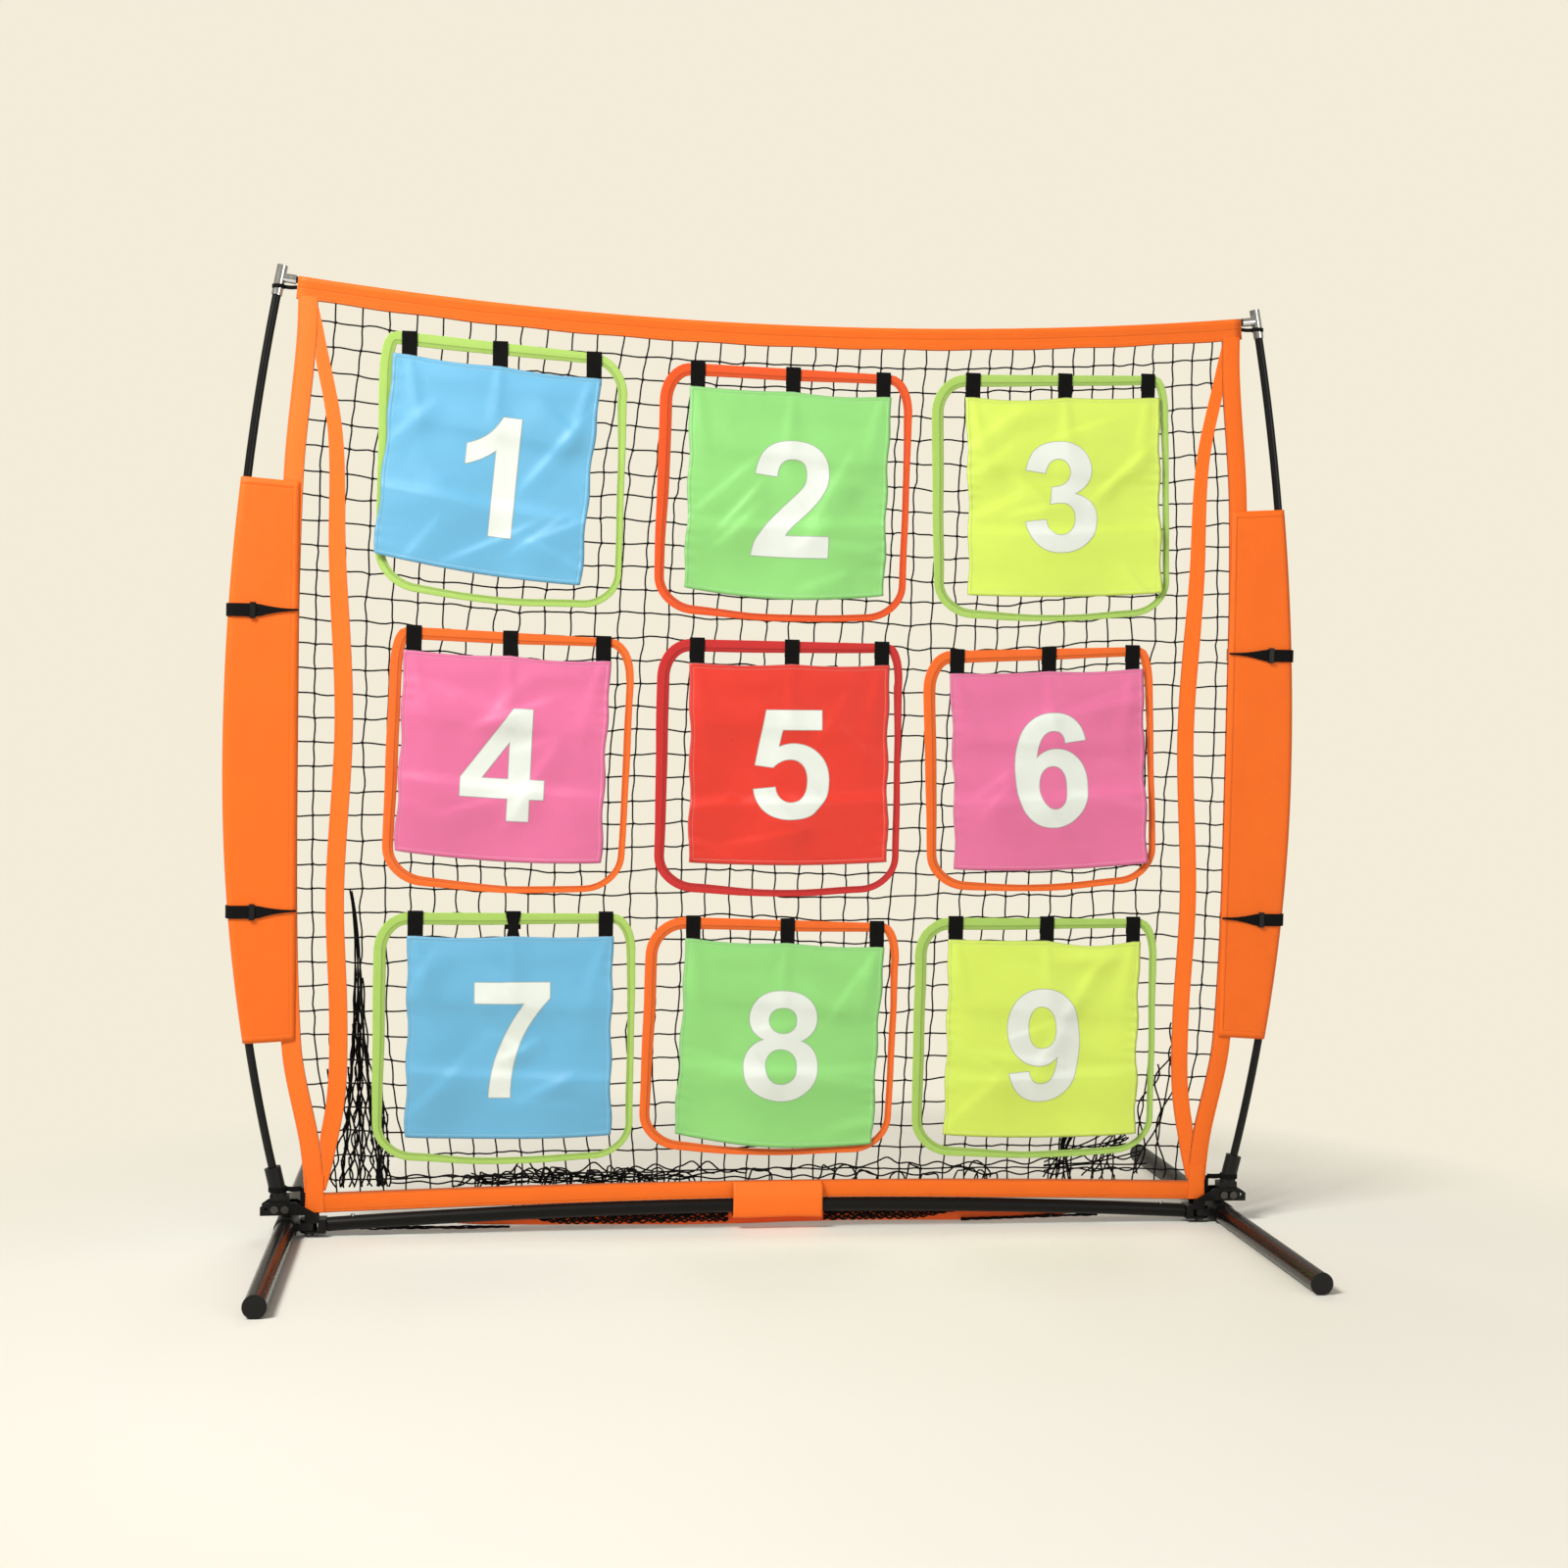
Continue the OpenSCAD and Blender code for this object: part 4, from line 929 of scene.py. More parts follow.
def top_sleeve():
    """The rod's tunnel, closed by the two layers that hold the net's top edge."""
    r = ROD_D / 2 + GAP + CLOTH / 2
    flat = EDGE_Y - CLOTH / 2
    turn = linspace(-1.75, 1.75, 17)
    tunnel = [(r * math.sin(a), -r * math.cos(a)) for a in turn]
    near, low = -tunnel[0][0], tunnel[0][1]
    down_by = linspace(TOP_DROP - 0.5, low, 12)[:-1]
    ease = clip((TOP_DROP - 6 - down_by) / (TOP_DROP - 6 - low), 0, 1) ** 1.3
    front = [(-flat - (near - flat) * e, d) for e, d in zip(ease, down_by)]
    section = np.array([*front, *tunnel, *[(-y, d) for y, d in front[::-1]]])
    x = linspace(-TOP_HALF, TOP_HALF, 110)
    top = rod_height(x)
    down = unit(stack([x / ROD_R, 0 * x, -np.sqrt(1 - (x / ROD_R) ** 2)], -1))
    centre = stack([x, 0 * x, top], -1)
    grid = centre[:, None] + down[:, None] * section[None, :, 1:]
    grid[..., 1] += section[None, :, 0]
    # The lower hem ripples slightly between its stitches
    ripple = 0.7 * sin(x / 23)[:, None] * clip(section[None, :, 1] / TOP_DROP, 0, 1)
    grid[..., 2] += ripple
    round_by = run_along(section)
    look = top_look(round_by[-1])
    piece = cloth_sheet(Shape(), grid, CLOTH * 0.85, round_by, x).piece(
        "top_sleeve_cloth", "frame", look
    )
    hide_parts("top_sleeve")


def top_look(wide):
    """Orange cloth with two rows of stitches along each side of the tunnel."""
    look = woven("top_sleeve_orange", ORANGE, rough=0.55, crease=0.5, through=0.1)
    u, v = map_parts(look)
    edge = look.math("MINIMUM", u, look.minus(wide * MM, u))
    base, thread = look.base, scaled(linear(ORANGE), 0.55)
    for row in (0.0035, 0.0165):
        off = look.apart(edge, row)
        base = look.stitches(base, off, v, 0.0005, 0.0038, 0.7, 0.6, thread, 0.0018, 0.0004)
    rim = look.span(edge, 0.0, 0.001, 0.55, 0.0)
    look.colour(look.mix(rim, base, linear(TAPE_EDGE)))
    return look.mat


top_sleeve()

# ---- The wrap round the crossbar's middle and the low band behind it ----

WRAP_W, WRAP_X = 143, 15
BAND_L, BAND_TOP, BAND_LOW = 1122, 27, 5
BAND_Y = BAR_D / 2 + 1.8


def crossbar_wrap():
    """Cloth from the bottom tape round the crossbar's middle, inside the low band."""
    r = BAR_D / 2 + 0.9
    mid = float(bar_height(0))
    top = float(hem_low(0)) + HEM_H - 1.6
    neck = EDGE_Y + GAP + CLOTH / 2
    foot = mid - r - 6
    front = [(-neck, top), (-neck - 0.4, top - 2), (-r + 0.8, top - 7), (-r, mid + 9)]
    under = [
        (-r, mid + 2), (-r - 0.1, mid - 6), (-r + 0.3, foot + 4), (-r + 1.5, foot + 0.6),
        (-r + 4, foot)
    ]
    rear = [(0, foot + 0.4), (r - 4, foot + 1), (r - 1.2, foot + 2.5), (r, foot + 6), (r, mid)]
    section = np.array(
        front + under + rear + [(r - 1.4, mid + 9), (neck + 1, top - 16), (neck, top - 8), (neck, top)]
    )
    x = WRAP_X + linspace(-WRAP_W / 2, WRAP_W / 2, 40)
    pull = 0.3 * sin(x / 9)[:, None] * sin(linspace(0, 9, len(section)))[None]
    y, z = section.T
    z = z + 0.5 * sin(x / 21)[:, None] * (z < mid)
    grid = xyz(x[:, None], y + pull, z)
    run = run_along(section)
    wrap = cloth_sheet(Shape(), grid, 0.9, run, x).piece("crossbar_wrap", "frame", wrap_cloth)
    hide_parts("ground_band")


def low_band():
    """The strip that hangs behind the crossbar, just above the floor."""
    f = linspace(0, 1, 150)
    x = WRAP_X + BAND_L * (f - 0.5)
    low = BAND_LOW + 1.2 * (1 - cos(np.radians(900 * f))) + 14 * (2 * f - 1) ** 6
    high = BAND_TOP + 1.5 * sin(np.radians(1080 * f))
    v = linspace(0, 1, 7)
    y = BAND_Y + CLOTH / 2 + 0.8 * sin(x / 17)[:, None] * (1 - v)
    grid = xyz(x[:, None], y, low[:, None] + (high - low)[:, None] * v)
    tall = float(np.mean(high - low))
    band = cloth_sheet(Shape(), grid, 0.9, v * tall, x).piece("low_band_cloth", "frame", band_cloth)
    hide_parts("ground_band")


crossbar_wrap()
low_band()

# ---- Side sleeves, their straps, and the straps at the corners ----


def fold_path(z, off, steps=14):
    """Round a pole at one height: the front inner edge, the pole, the back edge."""
    r, h, px = SLEEVE_R + off, SLEEVE_EDGE + off, float(pole_x(z))
    lean = math.asin((r - h) / (px - SLEEVE_X))
    turn = linspace(-math.pi / 2 - lean, math.pi / 2 + lean, steps)
    rounded = [(px + r * math.cos(a), r * math.sin(a)) for a in turn]
    share = linspace(0, 1, 13)[:-1]
    near, far = rounded[0], rounded[-1]
    front = [(SLEEVE_X + (near[0] - SLEEVE_X) * t, -h + (near[1] + h) * t) for t in share]
    back = [
        (far[0] + (SLEEVE_X - far[0]) * t, far[1] + (h - far[1]) * t) for t in linspace(0, 1, 13)[1:]
    ]
    return np.array(front + rounded + back)


def side_sleeve(side, word):
    z = linspace(SLEEVE_LOW, SLEEVE_HIGH, 110)
    rows = []
    for h in z:
        path = fold_path(h, -CLOTH / 2)
        inward = clip((path[:, 0] - SLEEVE_X) / 60, 0, 1)
        wave = 0.55 * sin(h / 37 + path[:, 0] / 21) + 0.4 * sin(h / 91 - path[:, 0] / 13)
        flat = sin(pi * clip(inward, 0, 1)) ** 0.5
        rows.append(
            stack([path[:, 0] * side, path[:, 1] * (1 + 0.05 * wave * flat), np.full(len(path), h)], -1)
        )
    grid = np.array(rows)
    # The ends are cut at a slant, and hang a little lower at the inner edge
    reach = clip((np.abs(grid[..., 0]) - SLEEVE_X) / 100, 0, 1)
    share = (grid[..., 2] - SLEEVE_LOW) / (SLEEVE_HIGH - SLEEVE_LOW)
    grid[..., 2] -= 6 * (1 - reach) * clip(share * 4 - 3, 0, 1)
    grid[..., 2] += 5 * (1 - reach) * clip(1 - share * 4, 0, 1)
    path = grid[55]
    across = run_along(path)
    if side > 0:
        grid = grid[:, ::-1]
    look = sleeve_look(word, across[-1])
    piece = cloth_sheet(Shape(), grid, CLOTH * 0.8, across, z).piece(
        f"{word}_sleeve_cloth", "frame", look
    )
    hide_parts(f"{word}_side_sleeve")


def sleeve_look(word, wide):
    """Sleeve cloth with a hem sewn along each edge."""
    look = woven(f"{word}_sleeve_orange", ORANGE, rough=0.5, crease=0.9, through=0.12)
    u, v = map_parts(look)
    side = look.math("MINIMUM", u, look.minus(wide * MM, u))
    end = look.math("MINIMUM", look.minus(v, SLEEVE_LOW * MM), look.minus(SLEEVE_HIGH * MM, v))
    rim = look.math("MINIMUM", side, end)
    off, run = look.apart(rim, 0.011), look.math("ADD", u, v)
    thread = scaled(linear(ORANGE), 0.55)
    look.colour(look.stitches(
        look.base, off, run, 0.0005, 0.004, 0.7, 0.6, thread, 0.0022, 0.0006
    ))
    look.bump(look.span(rim, 0.0112, 0.0124), -0.0004)
    look.bump(look.noise(7, 3, (1, 1, 0.25)), 0.004)
    return look.mat


for side, word in SIDES:
    side_sleeve(side, word)


def sleeve_straps():
    shape = Shape()
    for side, heights in STRAP_Z.items():
        for z in heights:
            path = fold_path(z, STRAP_GAP + CLOTH / 2)
            line = stack([path[:, 0] * side, path[:, 1], np.full(len(path), z)], -1)
            along = unit(np.gradient(line, axis=0))
            up = np.tile([0.0, 0, 1], (len(line), 1))
            out = unit(np.cross(up, along)) * (1 if side > 0 else -1)
            keep = float(pole_x(z)) - KEEPER_BACK - KEEPER_L
            share = clip((path[:, 0] - SLEEVE_X) / (keep - SLEEVE_X), 0, 1)
            first = np.arange(len(path)) < len(path) / 2
            half = np.where(first, 1.5 + (STRAP_W / 2 - 1.5) * share**2, STRAP_W / 2)
            lift = np.where(first, 2 * (1 - share), 0)
            line[:, 2] += lift
            sections = [tape_profile(-h, h, -CLOTH / 2, CLOTH / 2, min(0.4, h / 8)) for h in half]
            sweep(shape, line, up, out, sections)
    piece = shape.piece("sleeve_strap_tapes", "frame", strap_tape, crisp=38)
    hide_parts("sleeve_straps")


sleeve_straps()


def corner_straps():
    """Straps from the net's corners round the pole sockets and the tees."""
    shape = Shape()
    arm_z = TONGUE_TOP + 1.5
    high_z = TEE_LOW + 10
    high_x = TOP_HALF + GAP + 28 * ROD_SAG / TEE_X
    steps = 32
    turn = linspace(0, 2 * pi, steps + 1)[:-1]
    for side in (-1, 1):
        for z, tall, hole, start in (
            (arm_z + 3, 8, SOCKET_D / 2, HEM_HALF + 6), (high_z, 6, TEE_D / 2, high_x)
        ):
            px = float(pole_x(z + tall / 2))
            r = hole + GAP + CLOTH / 2
            ring = stack(
                [side * (px + r * cos(turn)), r * sin(turn), np.full(32, z + tall / 2)], -1
            )
            out = stack([side * cos(turn), sin(turn), 0 * turn], -1)
            section = np.array(tape_profile(-tall / 2, tall / 2, -CLOTH / 2, CLOTH / 2, 0.3))
            points = ring[:, None] + out[:, None] * section[None, :, 1:] + np.array([0, 0, 1]) * section[
                None, :, :1
            ]
            faces, row, col = ring_faces(steps, len(section))
            uv = stack([section[col, 0], row * r * 2 * pi / steps], -1)
            shape.add(points, faces, uv)
            x = linspace(start, px - hole - 0.6, 14)
            sag = 0.8 * sin(pi * linspace(0, 1, 14))
            line = stack([side * x, 0 * x, z + tall / 2 - sag], -1)
            sweep(
                shape, line, (0, 0, 1), (0, 1, 0),
                tape_profile(-tall / 2, tall / 2, -CLOTH, CLOTH, 0.3)
            )
        z = linspace(arm_z - 18, arm_z + 8, 12)
        line = stack([np.full(12, side * (HEM_HALF + GAP + 4)), 0 * z, z], -1)
        sweep(shape, line, (1, 0, 0), (0, 1, 0), tape_profile(-4, 4, -CLOTH, CLOTH, 0.3))
    piece = shape.piece("corner_strap_tapes", "frame", strap_tape, crisp=38)
    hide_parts("corner_straps")


corner_straps()

# ---- Target loops and the tabs that tie the flaps to them ----

TAB_LOW, TAB_HIGH = LOOP_W + 4.5, 1.8
# The loops whose sides hang straighter than their top run is tilted
SKEW = {1: 0.055}


def tab_x(n, k):
    """Where a tab sits, kept off the turns of its loop's corners."""
    wide, high = loop_size(n)
    tilt = loop_tilt(n)
    lean = high / 2 * math.sin(tilt)
    most = wide / 2 - LOOP_W - 2 - TAB_W / 2
    want = (HANG[n - 1][3] + TAB_U[k] * FLAP_W) * math.cos(tilt) + lean
    return loop_place(n)[0] + (min(max(want, -most), most) - lean) / math.cos(tilt)


def loop_top(n, x):
    px, pz = loop_place(n)
    return pz + loop_size(n)[1] / 2 + (x - px) * math.tan(loop_tilt(n))


def corner_width(n, k):
    """How far an upper corner reaches in: the outer tab draws it tight."""
    wide, high = loop_size(n)
    tilt = loop_tilt(n)
    reach = (
        abs((tab_x(n, k) - loop_place(n)[0]) * math.cos(tilt) + high / 2 * math.sin(tilt)) + TAB_W / 2
    )
    return min(LOOP_R, max(LOOP_W + 3, wide / 2 - reach + 1))


def loop_tape(n):
    """A loop's tape. It lies wide on the left and the top, and is folded
    narrower on the right and the bottom."""
    wide, high = loop_size(n)
    px, pz = loop_place(n)
    tilt = loop_tilt(n)
    widths = [corner_width(n, 2), corner_width(n, 0), LOOP_R, LOOP_R]
    outline = []
    for s, w in enumerate(widths):
        for a in np.radians(90 * (s + np.arange(13) / 12)):
            sx = 1 if s in (0, 3) else -1
            sz = 1 if s < 2 else -1
            outline.append((
                sx * (wide / 2 - w) + (w - LOOP_W / 2) * math.cos(a),
                sz * (high / 2 - LOOP_R) + (LOOP_R - LOOP_W / 2) * math.sin(a),
            ))
    closed = np.array([*outline, outline[0]])
    run = run_along(closed)
    steps = 220
    at = linspace(0, run[-1], steps + 1)[:-1]
    x, z = np.interp(at, run, closed[:, 0]), np.interp(at, run, closed[:, 1])
    # It wanders a little in its own plane, and the top run dips at the middle tab
    calm = clip((np.abs(z) < high / 2 - 24).astype(float) + (z < 0), 0, 1)
    out = unit(stack([np.gradient(z), -np.gradient(x)], -1))
    sway = 0.9 * drift(at / 60, n, n) * calm
    x, z = x + out[:, 0] * sway, z + out[:, 1] * sway
    # Full width on the top and left, twisted narrower on the right and the bottom
    turn = np.arctan2(z / high, x / wide)
    narrow = 0.5 + 0.5 * cos(turn + math.radians(42 + 12 * drift(n, 2 * n, n)))
    width = LOOP_W * (
        0.96 - 0.42 * clip(1.3 * narrow, 0, 1) ** 1.4 + 0.05 * drift(at / 90, n, 2 * n)
    )
    # Its outer edge keeps its place, and the bottom run sags between its corners
    keep = (LOOP_W - width) / 2 * 0.8
    x, z = x + out[:, 0] * keep, z + out[:, 1] * keep
    near_foot = clip((75 - z - high / 2) / 65, 0, 1)
    z = z - (8.5 * cos(pi * x / wide) ** 2 - 5) * near_foot**2 * (3 - 2 * near_foot)
    x = x - SKEW.get(n, 0) * z
    c, s = math.cos(tilt), math.sin(tilt)
    centre = stack(
        [px + x * c - z * s, np.full(steps, -(NET_Y + GAP + LOOP_Y) / 2), pz + x * s + z * c], -1
    )
    away = stack([out[:, 0] * c - out[:, 1] * s, 0 * z, out[:, 0] * s + out[:, 1] * c], -1)
    # A flat tape with its inner edge turned back where it is narrow
    under_tab = np.zeros(steps, bool)
    for k in range(3):
        under_tab |= (np.abs(centre[:, 0] - tab_x(n, k)) < TAB_W / 2 + 3) & (z > 0)
    turned = clip(1.4 * narrow - 0.25, 0, 1)
    rows = []
    for h, b, f in zip(width / 2, np.where(under_tab, 0.1, 1.3), turned):
        rows.append([
            (-h, -0.3), (-h + 0.6, -0.9 + 0.2 * f), (-0.5 * h, -1.05 + 0.75 * f), (
                -0.35 * h, -1.2 + 0.1 * f
            ),
            (0.3 * h, -1.35), (h - 0.8, -1.3), (h, -0.5), (h - 0.8, b * 0.9), (0.2 * h, b), (
                -h + 0.7, b * 0.6
            ),
        ])
    profile = np.array(rows)
    points = centre[:, None] + away[:, None] * profile[..., :1]
    points[..., 1] += profile[..., 1]
    faces, row, col = grid_faces(steps + 1, profile.shape[1], wrap=True)
    faces = faces % (steps * profile.shape[1])
    cols = col % profile.shape[1]
    spread = profile[row % steps, cols, 0] * LOOP_W / width[row % steps]
    uv = stack([spread, row * run[-1] / steps], -1)
    look = loop_looks[LOOP_TONES[n - 1]]
    piece = Shape().add(points, faces, uv).piece(f"loop_{n}_tape", "frame", look, crisp=34)
    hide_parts(f"loop_{n}")


for n in range(1, 10):
    loop_tape(n)


def flap_tabs():
    shape = Shape()
    for n in range(1, 10):
        for k in range(3):
            x = tab_x(n, k)
            top = loop_top(n, x) + TAB_HIGH + CLOTH / 2
            low = loop_top(n, x) - TAB_LOW - CLOTH / 2
            tilt = math.tan(math.radians(flap_tilt(n)))
            foot = flap_place(n)[1] + (x - flap_place(n)[0]) * tilt - 11
            front, back = -(LOOP_Y + GAP + CLOTH / 2), -(NET_Y + GAP + CLOTH / 2)
            mid, r = (front + back) / 2, (back - front) / 2
            over = [(mid - r * math.cos(a), top - r + r * math.sin(a)) for a in linspace(0, pi, 9)]
            under = [
                (mid + r * math.cos(a), low + r - r * math.sin(a)) for a in linspace(0, 0.8 * pi, 8)
            ]
            climb = [(front, h) for h in linspace(foot, top - r, 9)[:-1]]
            fall = [(back, h) for h in linspace(top - r, low + r, 6)[1:-1]]
            path = np.array(climb + over + fall + under)
            line = stack([np.full(len(path), x), path[:, 0], path[:, 1]], -1)
            along = unit(np.gradient(line, axis=0))
            across = np.tile([1.0, 0, 0], (len(line), 1))
            out = unit(np.cross(across, along))
            half = TAB_W / 2 * (0.97 + 0.03 * rng.uniform(-1, 1))
            pinch = np.ones(len(line))
            if (n, k) == (7, 1):
                pinch[:9] = 1 - 0.32 * sin(linspace(0, pi, 9)) ** 2
            sections = [tape_profile(-half * p, half * p, -0.5, 0.5, 0.3) for p in pinch]
            sweep(shape, line, across, out, sections)
    piece = shape.piece("flap_tab_tapes", "frame", black_tape, crisp=38)
    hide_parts("flap_tabs")


flap_tabs()

# ---- Target flaps and their printed numbers ----

FLAP_T = 0.5
# The lower edge's droop, the upper edge's droop left and right of the middle
# tab, and the lower corners' lift left and right of each flap
BELLY = {1: 2, 2: 8, 3: 0, 4: 3, 5: 0, 6: 2, 7: 0, 8: 9, 9: 2}
DROOP = {
    1: (3, 3), 2: (2, 4), 3: (5, 2), 4: (3, 4), 5: (3, 3), 6: (2, 3), 7: (3, 2), 8: (4, 3),
    9: (1, 8)
}
CORNERS = {1: (6, -8), 4: (4, -2), 6: (0, -1), 8: (3, -3), 9: (-1, 0)}


def ridges(n):
    """A flap's creases: place, lean, half length, height and the widths of their
    two slopes, all but the lean and the height as shares of the cloth."""
    pick = np.random.default_rng(40 + n)
    found = [(0.02, 0.68 + 0.03 * math.sin(3 * n), 0.05 * math.sin(2 * n), 0.6, 5.5, 0.035, 0.15)]
    found.append((0.1 * math.sin(n), 0.33 + 0.03 * math.cos(2 * n), 0.06, 0.5, 3.4, 0.12, 0.05))
    for _ in range(9):
        place = pick.uniform(-0.42, 0.42), pick.uniform(0.12, 0.95)
        slopes = pick.uniform(0.018, 0.035), pick.uniform(0.05, 0.12)
        lean = pick.choice([-1, 1]) * pick.uniform(0.1, 1.1)
        found.append((*place, lean, pick.uniform(0.1, 0.26), pick.uniform(1.6, 3.8), *slopes))
    return found


RIDGES = {n: ridges(n) for n in range(1, 10)}


TAB_AT = {n: [(tab_x(n, k) - flap_place(n)[0]) / FLAP_W for k in range(3)] for n in range(1, 10)}


def flap_surface(n, u, v):
    """Places on a flap's cloth: u across from -0.5 to 0.5, v down from 0 to 1."""
    u, v = np.asarray(u, float), np.asarray(v, float)
    bulge = FOLD * (0.25 + 0.75 * v) * sin(pi / 2 * np.minimum(1.6 * v, 1)) ** 2
    bulge = 0.75 * bulge * (0.5 + 0.5 * sin(2 * pi * (1.2 * u + 0.37 * n) + np.radians(130 * v)))
    free = np.minimum(1, 7 * v)
    for pu, pv, lean, reach, height, near, far in RIDGES[n]:
        along = (u - pu) * math.cos(lean) + (v - pv) * math.sin(lean)
        over = (v - pv) * math.cos(lean) - (u - pu) * math.sin(lean)
        slope = np.where(over < 0, over / near, over / far)
        bulge = bulge + height * free * exp(-(slope**2) - (along / reach) ** 4)
    # Creases that run down and out from each tab, and slack between the tabs
    for k, t in enumerate(TAB_AT[n]):
        lean = (0.16, 0.02, -0.17)[k] + 0.05 * math.sin(2.1 * n + k)
        off = (u - t - lean * v) / (0.018 + 0.10 * v)
        bulge = bulge + 34 * exp(-(off**2)) * v * exp(-v / 0.15)
    droop = np.zeros_like(u)
    for deep, low, high in zip(DROOP[n], TAB_AT[n][:2], TAB_AT[n][1:]):
        gap = sin(pi * clip((u - low) / (high - low), 0, 1))
        droop = droop + deep * gap * exp(-v / 0.07)
        bulge = bulge + 0.5 * deep * gap * exp(-(((v - 0.09) / 0.05) ** 2))
    # Small puckers along the side seams
    rim = exp(-((0.5 - np.abs(u)) / 0.045))
    beat = 13 * v + 0.9 * sin(7 * v + n) + 0.3 * n + 0.2 * np.sign(u)
    bulge = bulge + 1.0 * rim * (1 + sin(2 * pi * beat)) * free * (0.6 + 0.4 * sin(5 * v + 2 * n))
    x = FLAP_W * u * (1 - 0.012 * sin(pi * v))
    x = x + 1.6 * rim * np.sign(u) * sin(2 * pi * 3.3 * v + 2 * n) * np.minimum(1, 4 * v)
    z = -FLAP_H * v - 4 * v * cos(pi * u) - BELLY[n] * v**4 * cos(pi * u) - droop
    left, right = CORNERS.get(n, (0, 0))
    z = z + v**2 * (left * clip(0.5 - u, 0, 1) + right * clip(0.5 + u, 0, 1))
    corner = exp(-((0.5 - np.abs(u)) / 0.03)) * exp(-((1 - v) / 0.03))
    return stack(
        [x - np.sign(u) * 0.8 * corner, -FLAP_Y - np.maximum(bulge, 0), z + 0.9 * corner], -1
    )


def hang(n, points):
    """Turns a flap's own places into the frame's."""
    tilt = math.radians(flap_tilt(n))
    c, s = math.cos(tilt), math.sin(tilt)
    px, pz = flap_place(n)
    x, y, z = np.moveaxis(points, -1, 0)
    return stack([px + x * c - z * s, y, pz + x * s + z * c], -1)


# Outlines of the numbers on a grid 147 high. A place after a tilde is a
# control point of a curve; two in a row have a place on the curve between them
NUMBERS = {
    1: ["81,0 53,0 53,106 ~37,92 16,85 16,110 ~28,114 ~50,130 58,147 81,147"],
    2: [
        "104,26 104,0 5,0 ~7,15 ~17,31 ~32,49 46,63 ~65,81 ~75,94 75,104 ~75,114 ~66,124 56,124"
        " ~47,124 ~37,114 36,101 8,104 ~11,127 ~34,147 57,147 ~79,147 ~103,124 103,106"
        " ~103,96 ~96,79 ~80,59 70,50 ~57,38 ~50,30 48,26"
    ],
    3: [
        "8,39 35,42 ~36,32 ~47,21 54,21 ~63,21 ~75,34 75,44 ~75,54 ~64,65 55,65 ~49,65 41,63"
        " 44,86 ~56,86 ~69,97 69,105 ~69,113 ~60,124 53,124 ~46,124 ~37,115 35,105 9,109"
        " ~12,122 ~23,139 ~42,147 54,147 ~75,147 ~97,124 97,108 ~97,88 74,77"
        " ~88,74 ~104,57 104,43 ~104,24 ~76,-2 54,-2 ~35,-2 ~10,21"
    ],
    4: ["64,0 64,29 4,29 4,54 67,147 91,147 91,54 109,54 109,29 91,29 91,0", "64,54 64,104 30,54"],
    5: [
        "9,38 37,41 ~38,31 ~49,20 57,20 ~67,20 ~79,35 79,50 ~79,65 ~66,79 56,79 ~44,79 34,68"
        " 11,71 25,145 97,145 97,119 46,119 41,95 ~51,100 61,100 ~80,100 ~107,73 107,51"
        " ~107,32 ~96,17 ~80,-2 56,-2 ~36,-2 ~11,19"
    ],
    6: [
        "102,111 75,108 ~74,116 ~66,124 59,124 ~50,124 ~38,108 36,88 ~47,100 62,100"
        " ~80,100 ~105,73 105,50 ~105,26 ~78,-2 57,-2 ~35,-2 ~7,33 7,72 ~7,113 ~37,147 60,147"
        " ~77,147 ~99,128",
        "39,52 ~39,37 ~52,21 60,21 ~67,21 ~77,34 77,49 ~77,64 ~66,78 58,78 ~50,78 ~39,65",
    ],
    7: ["9,119 9,145 104,145 104,125 ~92,113 ~68,76 ~55,29 55,0 28,0 ~29,32 ~53,93 72,119"],
    8: [
        "32,79 ~21,84 ~12,99 12,108 ~12,125 ~34,147 56,147 ~77,147 ~100,125 100,108"
        " ~100,98 ~89,83 80,79 ~92,75 ~104,56 104,44 ~104,24 ~78,-2 57,-2 ~38,-2 ~7,18 7,42"
        " ~7,54 ~18,73",
        "37,106 ~37,98 ~48,88 56,88 ~64,88 ~74,98 74,106 ~74,115 ~64,124 56,124 ~47,124 ~37,114",
        "35,45 ~35,33 ~47,20 56,20 ~65,20 ~77,32 77,44 ~77,54 ~65,67 55,67 ~45,67 ~35,53",
    ],
}
# The tallest outline's height on its grid and on the cloth
GRID_H, NUMBER_H = 149, 184
# Middle of each number on its flap, as shares across and down, and its height share
NUMBER_AT = {
    1: (0.015, 0.53, 0.985), 2: (0.015, 0.525, 0.97), 3: (-0.02, 0.5, 0.945),
    4: (0, 0.53, 0.94), 5: (0.01, 0.5, 0.935), 6: (0.01, 0.5, 0.98), 7: (0.01, 0.51, 0.99),
    8: (0.01, 0.51, 0.92), 9: (0.005, 0.53, 0.97),
}


def traced(text):
    """The points of one outline."""
    marks = []
    for word in text.split():
        x, z = (float(part) for part in word.strip("~").split(","))
        marks.append((np.array([x, z]), word.startswith("~")))
    full = []
    for k, (p, off) in enumerate(marks):
        q, off_next = marks[(k + 1) % len(marks)]
        full.append((p, off))
        if off and off_next:
            full.append(((p + q) / 2, False))
    points = []
    for k, (p, off) in enumerate(full):
        if not off:
            points.append(p)
            continue
        a, b = full[k - 1][0], full[(k + 1) % len(full)][0]
        for t in linspace(0, 1, 8)[1:-1]:
            points.append((1 - t) ** 2 * a + 2 * t * (1 - t) * p + t * t * b)
    return np.array(points)


